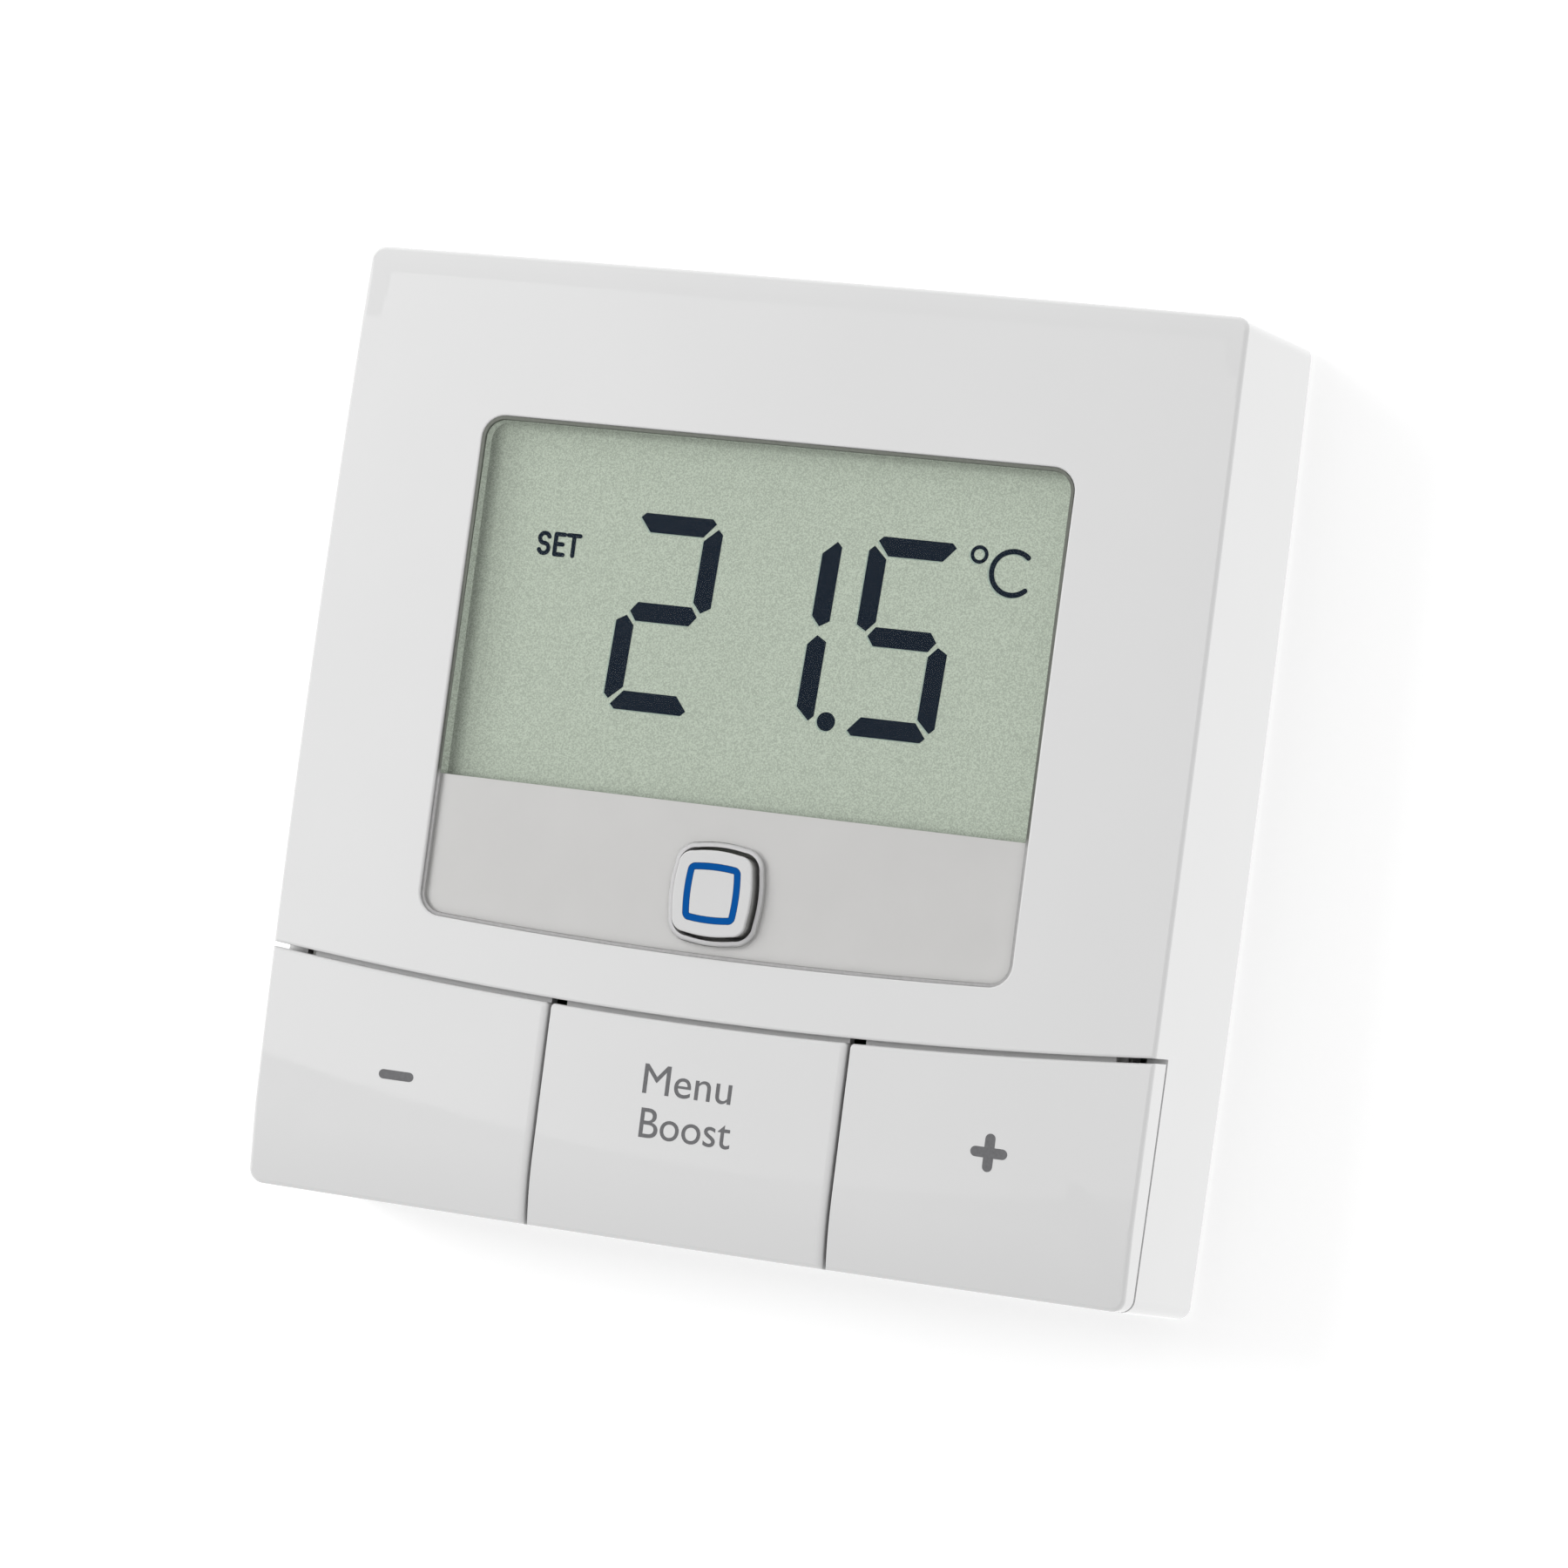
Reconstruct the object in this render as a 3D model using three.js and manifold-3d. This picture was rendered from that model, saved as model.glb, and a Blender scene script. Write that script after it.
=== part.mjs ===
// Battery wall thermostat: a glossy white housing with a display window, a small
// system button and three wide keys, clipped onto a plate that is stuck to the wall.
// Millimetres. +Z is up, the front faces -Y, and the wall is the plane Y = 0.
// The origin is the centre of the back of the wall plate.

import * as THREE from 'three';
import { mergeVertices } from 'three/addons/utils/BufferGeometryUtils.js';
import Module from 'manifold-3d';

const wasm = await Module();
wasm.setup();

// ---- Driving dimensions ------------------------------------------------------------

// Housing
const HALF_W = 40;            // half width of the housing at the wall
const HALF_H = 42;            // half height at the wall
const DEPTH = 22;             // wall to the foremost line of the front
const DRAFT_X = 0.75;         // each side leans in this much over the depth
const DRAFT_Z = 1.2;
const BULGE_X = 0.3;          // left and right sides bow out this much
const BULGE_Z = 0.15;
const CORNER_R = 1.2;
const SHELL = 1.8;            // side wall
const FRONT_WALL = 2;
const RIM_BACK = -0.4;        // the housing's rim stands just clear of the wall
const GAP = 0.3;              // clearance between neighbouring pieces
const SLIVER = 0.1;           // clearance between flat faces that rest together
const FILM = 0.02;            // clearance of a printed or laid-on film
const PAST = 3;               // tools reach this far beyond what they cut

// Front face in side view: a very flat crown which rolls away at both ends
const CROWN_Z = -8;
const CROWN_R = 1600;
const TOP_ROLL_Z = 38.5;
const TOP_ROLL_R = 8;
const LOW_ROLL_Z = -35;
const LOW_ROLL_R = 21;
const CROWN_STEP = 7.35;      // heights between the front's facets
const TOP_ROLL_STEP = 0.9;
const LOW_ROLL_STEP = 1.4;

// Display window
const WIN_HALF_W = 26.3;
const WIN_TOP = 26.95;
const WIN_LOW = -16.05;       // height of its lower corners
const WIN_SAG = 0.65;         // the lower edge bows down by this much
const WIN_R = 2;
const STRIP_Z = -3.95;        // the display's visible lower edge
const LENS_SET_BACK = 0.15;
const LENS_SEAT_Y = -20.2;
const LENS_BACK_Y = -19;
const LENS_FLANGE = 1.8;
const MASK_T = 0.2;           // printed film behind the lens, below the display
const MASK_INSET = 0.4;

// Keys
const EDGE_Z = -21.9;         // middle of the housing's lower front edge
const EDGE_R = 405;
const EDGE_GAP = 0.4;
const KEY_SPLIT_X = 13.3;     // centre of each gap between two keys
const KEY_GAP = 0.5;
const KEY_BACK_Y = -18.45;
const KEY_STOP_Y = -18;       // front of the housing wall behind the keys
const KEY_WALL = 1.5;
const COLLAR_GAP = 0.4;       // clearance between a key's skirt and the step inside it
const COLLAR_T = 1;
const COLLAR_FRONT_Y = -19.3;
const COLLAR_BACK_Y = -16.8;
const LEDGE_Y = -20.6;        // sill behind the gap above each key
const LEDGE_T = 1.3;
const LEDGE_RISE = 1;
const LEDGE_INSET = 0.9;
const LEDGE_CORNER = 1.6;     // further inset beside the housing's outer walls
const LEDGE_OVERLAP = 1;
const LEDGE_SLOT_HALF_W = 38;
const PIVOT_Y = -18.5;
const PIVOT_Z = -19.9;
const PIVOT_BAR_R = 0.8;
const PIVOT_PIN_R = 0.5;
const WEB_TOP = -0.2;         // web between a key and its pivot, from the pivot's axis
const WEB_LOW = -1.9;
const WEB_OVERLAP = 0.35;
const LUG_ROOM_Y = -1.6;      // room cut for a lug, from the pivot's axis
const LUG_ROOM_Z = -1.7;
const LUG_HALF_H = 1.2;
const LUG_BACK = 2;
const RAIL_FRONT = 1.5;
const RAIL_HALF_H = 1.3;
const LUG_HALF_W = 0.9;
const OUTER_LUG_X = 35.4;
const PIN_REACH = 0.95;
const SWITCH_Z = -31;
const SWITCH_X = 27;

// System button
const BUTTON_Z = -11.3;
const BUTTON_W = 6.9;
const BUTTON_H = 7.2;
const BUTTON_R = 1.2;
const BUTTON_BOW = 0.2;       // its sides bow out this much
const BUTTON_FACE_Y = -22.75;
const BUTTON_FLANGE_Y = -18.4;
const BUTTON_FLANGE = 1;      // flange that keeps the button behind the lens
const BUTTON_FLANGE_T = 0.6;
const BUTTON_WALL = 1;
const BUTTON_ROOF_Y = -20.8;
const BUTTON_RIB_HALF_W = 1.2;
const BUTTON_RIB_TOP = -0.6;  // rib above the switch, from the button's middle
const BUTTON_RIB_LOW = -2.4;
const RING_W = 4.85;
const RING_H = 5;
const RING_R = 0.75;
const RING_STROKE = 0.54;
const RING_BACK_Y = -22;

// Display
const LCD_FRONT_Y = -18.3;
const LCD_BACK_Y = -16.7;
const LCD_HALF_W = 28.5;
const LCD_TOP = 31.6;
const LCD_LOW = -5.4;
const TRAY_WALL = 1.2;
const TRAY_FRONT_Y = -18.7;
const TRAY_FLOOR_Y = -16.4;
const TRAY_BUTTON_ROOM = 1.6;
const FOIL_INSET = 0.4;
const FOIL_T = 0.2;
const STRIP_CONTACT_Z = 29.9;
const STRIP_CONTACT_HALF_W = 25;
const STRIP_CONTACT_H = 2;

// Circuit board
const BOARD_FRONT_Y = -15.6;
const BOARD_BACK_Y = -14;
const BOARD_HALF_W = 36;
const BOARD_TOP = 34;
const BOARD_LOW = -39;
const BOARD_NOTCH = 5.5;
const BOARD_CORNER_R = 0.8;
const ISOLATION = { x0: 16, x1: 24, z0: -35.5, z1: -34.5, width: 1 };

// Battery bay, rear case and wall plate
const CELL_R = 5.25;          // LR03 cell
const CELL_LENGTH = 43.7;
const CELL_NUB = 0.8;
const CELL_Y = -7.75;
const CELL_Z = 5.6;
const BAY_HALF_W = 24.4;
const BAY_HALF_H = 11.4;
const BAY_WALL = 1.2;
const BAY_FLOOR_Y = -13.2;
const BAY_FLOOR_T = 0.7;
const CASE_BACK_Y = -2.3;
const CASE_PANEL = 1.7;
const CASE_CORNER_R = 0.8;
const CASE_TRIM_X = 0.15;     // the panel clears the leaning walls by a little more
const CASE_TRIM_Z = 0.2;
const PLATE_T = 2;
const PLATE_HALF_W = 37.6;
const PLATE_HALF_H = 39.6;
const HOOK_X = 29;
const HOOK_Z = 33.5;
const HOOK_W = 7;
const HOOK_T = 1.5;
const HOOK_REACH = 4.2;
const HOOK_CATCH = 0.6;
const HOOK_ROOM_X = 0.5;      // play of a hook in its slot
const HOOK_ROOM_Z = 1;
const SCREW_SLOT_AT = 30;     // 60 mm fixing centres of a flush wall box
const SCREW_SLOT_R = 1.9;
const SCREW_SLOT_LENGTH = 8;
const PAD_W = 44;
const PAD_H = 9;
const PAD_T = 0.8;
const PAD_Z = 20;
const PLATE_CORNER_R = 1.5;
const THUMB_R = 7;            // notch for prising the housing off
const THUMB_OUT = 4.5;

// Housing screws and their bosses
const BOSS_X = 35.4;
const BOSS_Z = 37.4;
const BOSS_R = 2.9;
const SCREW_R = 1;
const SCREW_HEAD_R = 2;
const SCREW_HEAD_DEPTH = 1;
const SCREW_HEAD_BACK = 0.2;
const SCREW_TIP_Y = -11;
const CROSS_HALF_L = 1.2;     // cross recess in a screw head
const CROSS_HALF_W = 0.25;
const CROSS_DEPTH = 0.5;
const BOSS_TOP_Y = -20.6;
const BOSS_LOW_Y = -17.2;
const BORE_END_Y = -14.5;

// Vents in the housing's underside, beside the climate sensor
const VENT_X = 24;
const VENT_STEP = 3.6;
const VENT_HALF_W = 0.7;
const VENT_FRONT_Y = -12.5;
const VENT_BACK_Y = -6;

const KEY_HALF_GAP = KEY_GAP / 2;
const LUG_X = [-OUTER_LUG_X, -KEY_SPLIT_X, KEY_SPLIT_X, OUTER_LUG_X];

// ---- Colours -----------------------------------------------------------------------

const FINISH = {
  white: { color: 0xe6e6e8, roughness: 0.22, metalness: 0 },
  inner: { color: 0xd9d9d6, roughness: 0.5, metalness: 0 },
  clear: { color: 0xeef2f0, roughness: 0.05, metalness: 0, transparent: true, opacity: 0.35 },
  strip: { color: 0xcbcac8, roughness: 0.35, metalness: 0 },
  display: { color: 0xadb9ab, roughness: 0.3, metalness: 0 },
  blue: { color: 0x0a55a8, roughness: 0.3, metalness: 0 },
  board: { color: 0x1e6b3c, roughness: 0.45, metalness: 0 },
  chip: { color: 0x1c1c1e, roughness: 0.5, metalness: 0 },
  steel: { color: 0xb9bcc0, roughness: 0.3, metalness: 1 },
  copper: { color: 0xb87333, roughness: 0.35, metalness: 1 },
  rubber: { color: 0x8a3a3a, roughness: 0.7, metalness: 0 },
  cell: { color: 0x2f6f9f, roughness: 0.35, metalness: 0.2 },
  foam: { color: 0xf2efe6, roughness: 0.85, metalness: 0 },
};

// ---- Solids ------------------------------------------------------------------------

function toSolid(geometry) {
  const bare = geometry.clone();
  bare.deleteAttribute('normal');
  bare.deleteAttribute('uv');
  const merged = mergeVertices(bare, 1e-4);
  return new wasm.Manifold(new wasm.Mesh({
    numProp: 3,
    vertProperties: new Float32Array(merged.attributes.position.array),
    triVerts: new Uint32Array(merged.index.array),
  }));
}

function toGeometry(solid) {
  const mesh = solid.getMesh();
  const geometry = new THREE.BufferGeometry();
  geometry.setAttribute('position', new THREE.BufferAttribute(mesh.vertProperties, 3));
  geometry.setIndex(new THREE.BufferAttribute(mesh.triVerts, 1));
  geometry.computeVertexNormals();
  return geometry;
}

function join(...geometries) {
  return toGeometry(geometries.map(toSolid).reduce((all, next) => all.add(next)));
}

function cut(geometry, ...tools) {
  return toGeometry(tools.map(toSolid).reduce((left, tool) => left.subtract(tool), toSolid(geometry)));
}

function common(a, b) {
  return toGeometry(toSolid(a).intersect(toSolid(b)));
}

// Box from its lowest to its highest corner.
function box(x0, x1, y0, y1, z0, z1) {
  const geometry = new THREE.BoxGeometry(x1 - x0, y1 - y0, z1 - z0);
  return geometry.translate((x0 + x1) / 2, (y0 + y1) / 2, (z0 + z1) / 2);
}

// A shape drawn in X and Z, standing from y0 to y1.
function slab(shape, y0, y1, curveSegments = 3) {
  const geometry = new THREE.ExtrudeGeometry(shape, {
    depth: y1 - y0, bevelEnabled: false, curveSegments,
  });
  return geometry.rotateX(Math.PI / 2).translate(0, y1, 0);
}

// A profile drawn in Y and Z, standing from x0 to x1.
function bar(points, x0, x1) {
  const shape = new THREE.Shape(points.map(([y, z]) => new THREE.Vector2(y, z)));
  const geometry = new THREE.ExtrudeGeometry(shape, { depth: x1 - x0, bevelEnabled: false });
  const turn = new THREE.Matrix4().set(0, 0, 1, 0, 1, 0, 0, 0, 0, 1, 0, 0, 0, 0, 0, 1);
  return geometry.applyMatrix4(turn).translate(x0, 0, 0);
}

// Round bar along X or along Y.
function rodX(r, x0, x1, y, z, sides = 16) {
  const geometry = new THREE.CylinderGeometry(r, r, x1 - x0, sides);
  return geometry.rotateZ(-Math.PI / 2).translate((x0 + x1) / 2, y, z);
}

function rodY(r, y0, y1, x, z, sides = 16) {
  const geometry = new THREE.CylinderGeometry(r, r, y1 - y0, sides);
  return geometry.translate(x, (y0 + y1) / 2, z);
}

// ---- Outlines ----------------------------------------------------------------------

// Rounded rectangle centred on (cx, cz), with sides that may bow out.
function outline(halfW, halfH, r, cx = 0, cz = 0, bowX = 0, bowZ = 0) {
  const x = halfW - bowX;
  const z = halfH - bowZ;
  const shape = new THREE.Shape();
  const side = (bow, midX, midZ, toX, toZ) => {
    if (bow > 0) shape.quadraticCurveTo(midX, midZ, toX, toZ);
    else shape.lineTo(toX, toZ);
  };
  shape.moveTo(cx - x, cz - z + r);
  shape.absarc(cx - x + r, cz - z + r, r, Math.PI, 1.5 * Math.PI, false);
  side(bowZ, cx, cz - z - 2 * bowZ, cx + x - r, cz - z);
  shape.absarc(cx + x - r, cz - z + r, r, 1.5 * Math.PI, 2 * Math.PI, false);
  side(bowX, cx + x + 2 * bowX, cz, cx + x, cz + z - r);
  shape.absarc(cx + x - r, cz + z - r, r, 0, 0.5 * Math.PI, false);
  side(bowZ, cx, cz + z + 2 * bowZ, cx - x + r, cz + z);
  shape.absarc(cx - x + r, cz + z - r, r, 0.5 * Math.PI, Math.PI, false);
  side(bowX, cx - x - 2 * bowX, cz, cx - x, cz - z + r);
  return shape;
}

// The window's outline, grown outwards by a margin.
function windowOutline(grow) {
  const x = WIN_HALF_W + grow;
  const top = WIN_TOP + grow;
  const low = WIN_LOW - grow;
  const r = WIN_R + grow;
  const shape = new THREE.Shape();
  shape.moveTo(-x, low + r);
  shape.absarc(-x + r, low + r, r, Math.PI, 1.5 * Math.PI, false);
  shape.quadraticCurveTo(0, low - 2 * WIN_SAG, x - r, low);
  shape.absarc(x - r, low + r, r, 1.5 * Math.PI, 2 * Math.PI, false);
  shape.lineTo(x, top - r);
  shape.absarc(x - r, top - r, r, 0, 0.5 * Math.PI, false);
  shape.lineTo(-x + r, top);
  shape.absarc(-x + r, top - r, r, 0.5 * Math.PI, Math.PI, false);
  return shape;
}

// The button's outline: a rounded square with gently bowed sides, grown by a margin.
function buttonOutline(grow, width = BUTTON_W, height = BUTTON_H, r = BUTTON_R) {
  return outline(width / 2 + grow, height / 2 + grow, r + grow, 0, BUTTON_Z, BUTTON_BOW, BUTTON_BOW);
}

// Depth of the front face at a height, and the same face set back by an offset.
function frontY(z) {
  const crown = (z - CROWN_Z) ** 2 / (2 * CROWN_R);
  const top = Math.max(0, z - TOP_ROLL_Z) ** 2 / (2 * TOP_ROLL_R);
  const low = Math.max(0, LOW_ROLL_Z - z) ** 2 / (2 * LOW_ROLL_R);
  return -DEPTH + crown + top + low;
}

function frontPoints(offset) {
  const heights = [];
  for (let z = -HALF_H - 1; z < LOW_ROLL_Z; z += LOW_ROLL_STEP) heights.push(z);
  for (let z = LOW_ROLL_Z; z < TOP_ROLL_Z; z += CROWN_STEP) heights.push(z);
  for (let z = TOP_ROLL_Z; z <= HALF_H + 1; z += TOP_ROLL_STEP) heights.push(z);
  return heights.map((z) => [frontY(z) + offset, z]);
}

// Everything behind the front face, set back by an offset, as far as backY.
function behindFront(offset, backY) {
  const front = frontPoints(offset);
  const lowest = front[0][1];
  const highest = front[front.length - 1][1];
  return bar([...front, [backY, highest], [backY, lowest]], -HALF_W - PAST, HALF_W + PAST);
}

// Leans the sides of a block inwards towards the front.
function drafted(geometry) {
  const at = geometry.attributes.position;
  for (let i = 0; i < at.count; i += 1) {
    const lean = -at.getY(i) / DEPTH;
    at.setX(i, at.getX(i) * (1 - (DRAFT_X / HALF_W) * lean));
    at.setZ(i, at.getZ(i) * (1 - (DRAFT_Z / HALF_H) * lean));
  }
  return geometry;
}

// The housing's whole block, shrunk sideways and from the front.
function housingBlock(shrink, frontOffset, backY) {
  const r = Math.max(CORNER_R - shrink, 0.5);
  const shape = outline(HALF_W - shrink, HALF_H - shrink, r, 0, 0, BULGE_X, BULGE_Z);
  return common(drafted(slab(shape, -DEPTH - 1, backY, 4)), behindFront(frontOffset, backY));
}

// The curved line between housing and keys, at a distance from the housing's edge.
function edgeZ(x, drop) {
  return EDGE_Z - drop + x ** 2 / (2 * EDGE_R);
}

// Region between two such lines, or from one down past the bottom when lowDrop is null.
function belowEdge(x0, x1, topDrop, lowDrop = null) {
  const steps = Math.max(4, Math.round((x1 - x0) / 7));
  const top = [];
  for (let i = 0; i <= steps; i += 1) {
    const x = x0 + ((x1 - x0) * i) / steps;
    top.push(new THREE.Vector2(x, edgeZ(x, topDrop)));
  }
  const low = lowDrop === null
    ? [new THREE.Vector2(x1, -HALF_H - PAST), new THREE.Vector2(x0, -HALF_H - PAST)]
    : top.map(({ x }) => new THREE.Vector2(x, edgeZ(x, lowDrop))).reverse();
  return new THREE.Shape([...top, ...low]);
}

// ---- Housing -----------------------------------------------------------------------

// Step inside the walls below the keys: it stands in the keys' skirts and closes the
// slit that they leave.
function keyCollar() {
  const drop = EDGE_GAP + KEY_WALL + COLLAR_GAP;
  const zone = slab(belowEdge(-HALF_W, HALF_W, drop), COLLAR_FRONT_Y, COLLAR_BACK_Y);
  const root = slab(belowEdge(-HALF_W, HALF_W, drop), KEY_STOP_Y, COLLAR_BACK_Y);
  const inner = housingBlock(KEY_WALL + COLLAR_GAP + COLLAR_T, 0, RIM_BACK);
  const reach = KEY_HALF_GAP + KEY_WALL + COLLAR_GAP;
  const breaks = [-KEY_SPLIT_X, KEY_SPLIT_X].map((x) => box(x - reach, x + reach, -DEPTH, KEY_STOP_Y,
    -HALF_H, 0));
  const collar = cut(common(housingBlock(KEY_WALL + COLLAR_GAP, 0, RIM_BACK), zone), inner, ...breaks);
  return join(collar, cut(common(housingBlock(SHELL - 0.5, 0, RIM_BACK), root), inner));
}

function frontCover() {
  const shell = cut(
    housingBlock(0, 0, RIM_BACK),
    housingBlock(SHELL, FRONT_WALL, RIM_BACK + 1),
    slab(windowOutline(0), -DEPTH - 1, LENS_SEAT_Y + 1),
    slab(windowOutline(LENS_FLANGE + GAP), LENS_SEAT_Y, LENS_BACK_Y + 2),
    slab(belowEdge(-HALF_W - PAST, HALF_W + PAST, 0), -DEPTH - 1, KEY_STOP_Y),
    slab(belowEdge(-LEDGE_SLOT_HALF_W, LEDGE_SLOT_HALF_W, -LEDGE_RISE - GAP, LEDGE_OVERLAP),
      LEDGE_Y - GAP, KEY_STOP_Y),
  );
  const upper = [-1, 1].map((side) => rodY(BOSS_R, BOSS_TOP_Y, CASE_BACK_Y - CASE_PANEL - GAP,
    side * BOSS_X, BOSS_Z));
  const lower = [-1, 1].map((side) => rodY(BOSS_R, BOSS_LOW_Y, CASE_BACK_Y - CASE_PANEL - GAP,
    side * BOSS_X, -BOSS_Z));
  const bores = [-1, 1].flatMap((side) => [-1, 1].map((end) => rodY(SCREW_R + GAP, BORE_END_Y, 0,
    side * BOSS_X, end * BOSS_Z, 12)));
  const vents = [-2, -1, 0, 1, 2].map((n) => VENT_X + n * VENT_STEP).map((x) => box(
    x - VENT_HALF_W, x + VENT_HALF_W, VENT_FRONT_Y, VENT_BACK_Y, -HALF_H - 1,
    -HALF_H + SHELL + DRAFT_Z));
  const inside = common(join(...upper, ...lower), housingBlock(SHELL - 0.4, 1, RIM_BACK));
  return cut(join(shell, keyCollar(), inside), ...bores, ...vents);
}

function lens() {
  const pane = common(
    slab(windowOutline(-GAP), -DEPTH - 1, LENS_BACK_Y),
    behindFront(LENS_SET_BACK, LENS_BACK_Y + 1),
  );
  const flange = slab(windowOutline(LENS_FLANGE), LENS_SEAT_Y + SLIVER, LENS_BACK_Y);
  const hole = slab(buttonOutline(GAP), -DEPTH - PAST, 0);
  return cut(join(pane, flange), hole);
}

function lensMask() {
  const strip = common(
    slab(windowOutline(LENS_FLANGE - MASK_INSET), LENS_BACK_Y + FILM, LENS_BACK_Y + FILM + MASK_T),
    box(-HALF_W, HALF_W, -DEPTH, 0, -HALF_H, STRIP_Z),
  );
  return cut(strip, slab(buttonOutline(GAP), -DEPTH, 0));
}

function rearCase() {
  const halfW = HALF_W - SHELL - GAP - BULGE_X;
  const halfH = HALF_H - SHELL - GAP - BULGE_Z;
  const panelFront = CASE_BACK_Y - CASE_PANEL;
  const panel = slab(outline(halfW - CASE_TRIM_X, halfH - CASE_TRIM_Z, CASE_CORNER_R), panelFront,
    CASE_BACK_Y);
  const bay = box(-BAY_HALF_W - BAY_WALL, BAY_HALF_W + BAY_WALL, BAY_FLOOR_Y - BAY_FLOOR_T,
    panelFront + CASE_PANEL / 2,
    -BAY_HALF_H - BAY_WALL, BAY_HALF_H + BAY_WALL);
  const hollow = box(-BAY_HALF_W, BAY_HALF_W, BAY_FLOOR_Y, 0, -BAY_HALF_H, BAY_HALF_H);
  const screwHoles = [-1, 1].flatMap((side) => [-1, 1].flatMap((end) => [
    rodY(SCREW_R + GAP, -DEPTH, 0, side * BOSS_X, end * BOSS_Z, 12),
    rodY(SCREW_HEAD_R + GAP, CASE_BACK_Y - SCREW_HEAD_DEPTH, 0, side * BOSS_X, end * BOSS_Z, 16),
  ]));
  const slots = [-1, 1].flatMap((side) => [-1, 1].map((end) => box(
    side * HOOK_X - HOOK_W / 2 - HOOK_ROOM_X, side * HOOK_X + HOOK_W / 2 + HOOK_ROOM_X,
    -DEPTH, 0,
    end * HOOK_Z - HOOK_T / 2 - HOOK_ROOM_Z, end * HOOK_Z + HOOK_T / 2 + HOOK_ROOM_Z,
  )));
  return cut(join(panel, bay), hollow, ...screwHoles, ...slots);
}

function housingScrew(x, z) {
  const headBack = CASE_BACK_Y - SCREW_HEAD_BACK;
  const headFront = CASE_BACK_Y - SCREW_HEAD_DEPTH + SLIVER;
  const head = rodY(SCREW_HEAD_R, headFront, headBack, x, z, 16);
  const shank = rodY(SCREW_R, SCREW_TIP_Y, (headFront + headBack) / 2, x, z, 12);
  const bottom = headBack - CROSS_DEPTH;
  const cross = [
    box(x - CROSS_HALF_L, x + CROSS_HALF_L, bottom, 0, z - CROSS_HALF_W, z + CROSS_HALF_W),
    box(x - CROSS_HALF_W, x + CROSS_HALF_W, bottom, 0, z - CROSS_HALF_L, z + CROSS_HALF_L),
  ];
  return cut(join(head, shank), ...cross);
}

// ---- Wall plate --------------------------------------------------------------------

// One clip: a tongue with a sloped nose and a small catch on its outer face.
function hook(x, end) {
  const root = -PLATE_T / 2;
  const tip = -PLATE_T - HOOK_REACH;
  const inner = end * (HOOK_Z - HOOK_T / 2);
  const outer = end * (HOOK_Z + HOOK_T / 2);
  const points = [[root, inner], [tip, inner], [tip, outer - end * HOOK_CATCH],
    [tip + 1, outer + end * HOOK_CATCH], [tip + 1 + HOOK_CATCH, outer], [root, outer]];
  return bar(end > 0 ? points.reverse() : points, x - HOOK_W / 2, x + HOOK_W / 2);
}

function screwSlot(x, z, alongX) {
  const straight = SCREW_SLOT_LENGTH / 2 - SCREW_SLOT_R;
  const shape = alongX
    ? outline(straight + SCREW_SLOT_R, SCREW_SLOT_R, SCREW_SLOT_R - 0.05, x, z)
    : outline(SCREW_SLOT_R, straight + SCREW_SLOT_R, SCREW_SLOT_R - 0.05, x, z);
  return slab(shape, -PLATE_T - 1, 1);
}

function wallPlate() {
  const plate = slab(outline(PLATE_HALF_W, PLATE_HALF_H, PLATE_CORNER_R), -PLATE_T, 0);
  const hooks = [-1, 1].flatMap((side) => [-1, 1].map((end) => hook(side * HOOK_X, end)));
  const slots = [
    screwSlot(-SCREW_SLOT_AT, 0, false),
    screwSlot(SCREW_SLOT_AT, 0, false),
    screwSlot(0, -SCREW_SLOT_AT, true),
    screwSlot(0, SCREW_SLOT_AT, true),
  ];
  const recesses = [-1, 1].map((end) => box(-PAD_W / 2 - GAP, PAD_W / 2 + GAP, -PAD_T - SLIVER, 1,
    end * PAD_Z - PAD_H / 2 - GAP, end * PAD_Z + PAD_H / 2 + GAP));
  const thumbNotch = rodY(THUMB_R, -PLATE_T - 1, 1, 0, -PLATE_HALF_H - THUMB_OUT, 24);
  return cut(join(plate, ...hooks), ...slots, ...recesses, thumbNotch);
}

function adhesivePad(end) {
  return slab(outline(PAD_W / 2, PAD_H / 2, 0.8, 0, end * PAD_Z), -PAD_T, 0, 3);
}

// ---- Keys --------------------------------------------------------------------------

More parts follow.
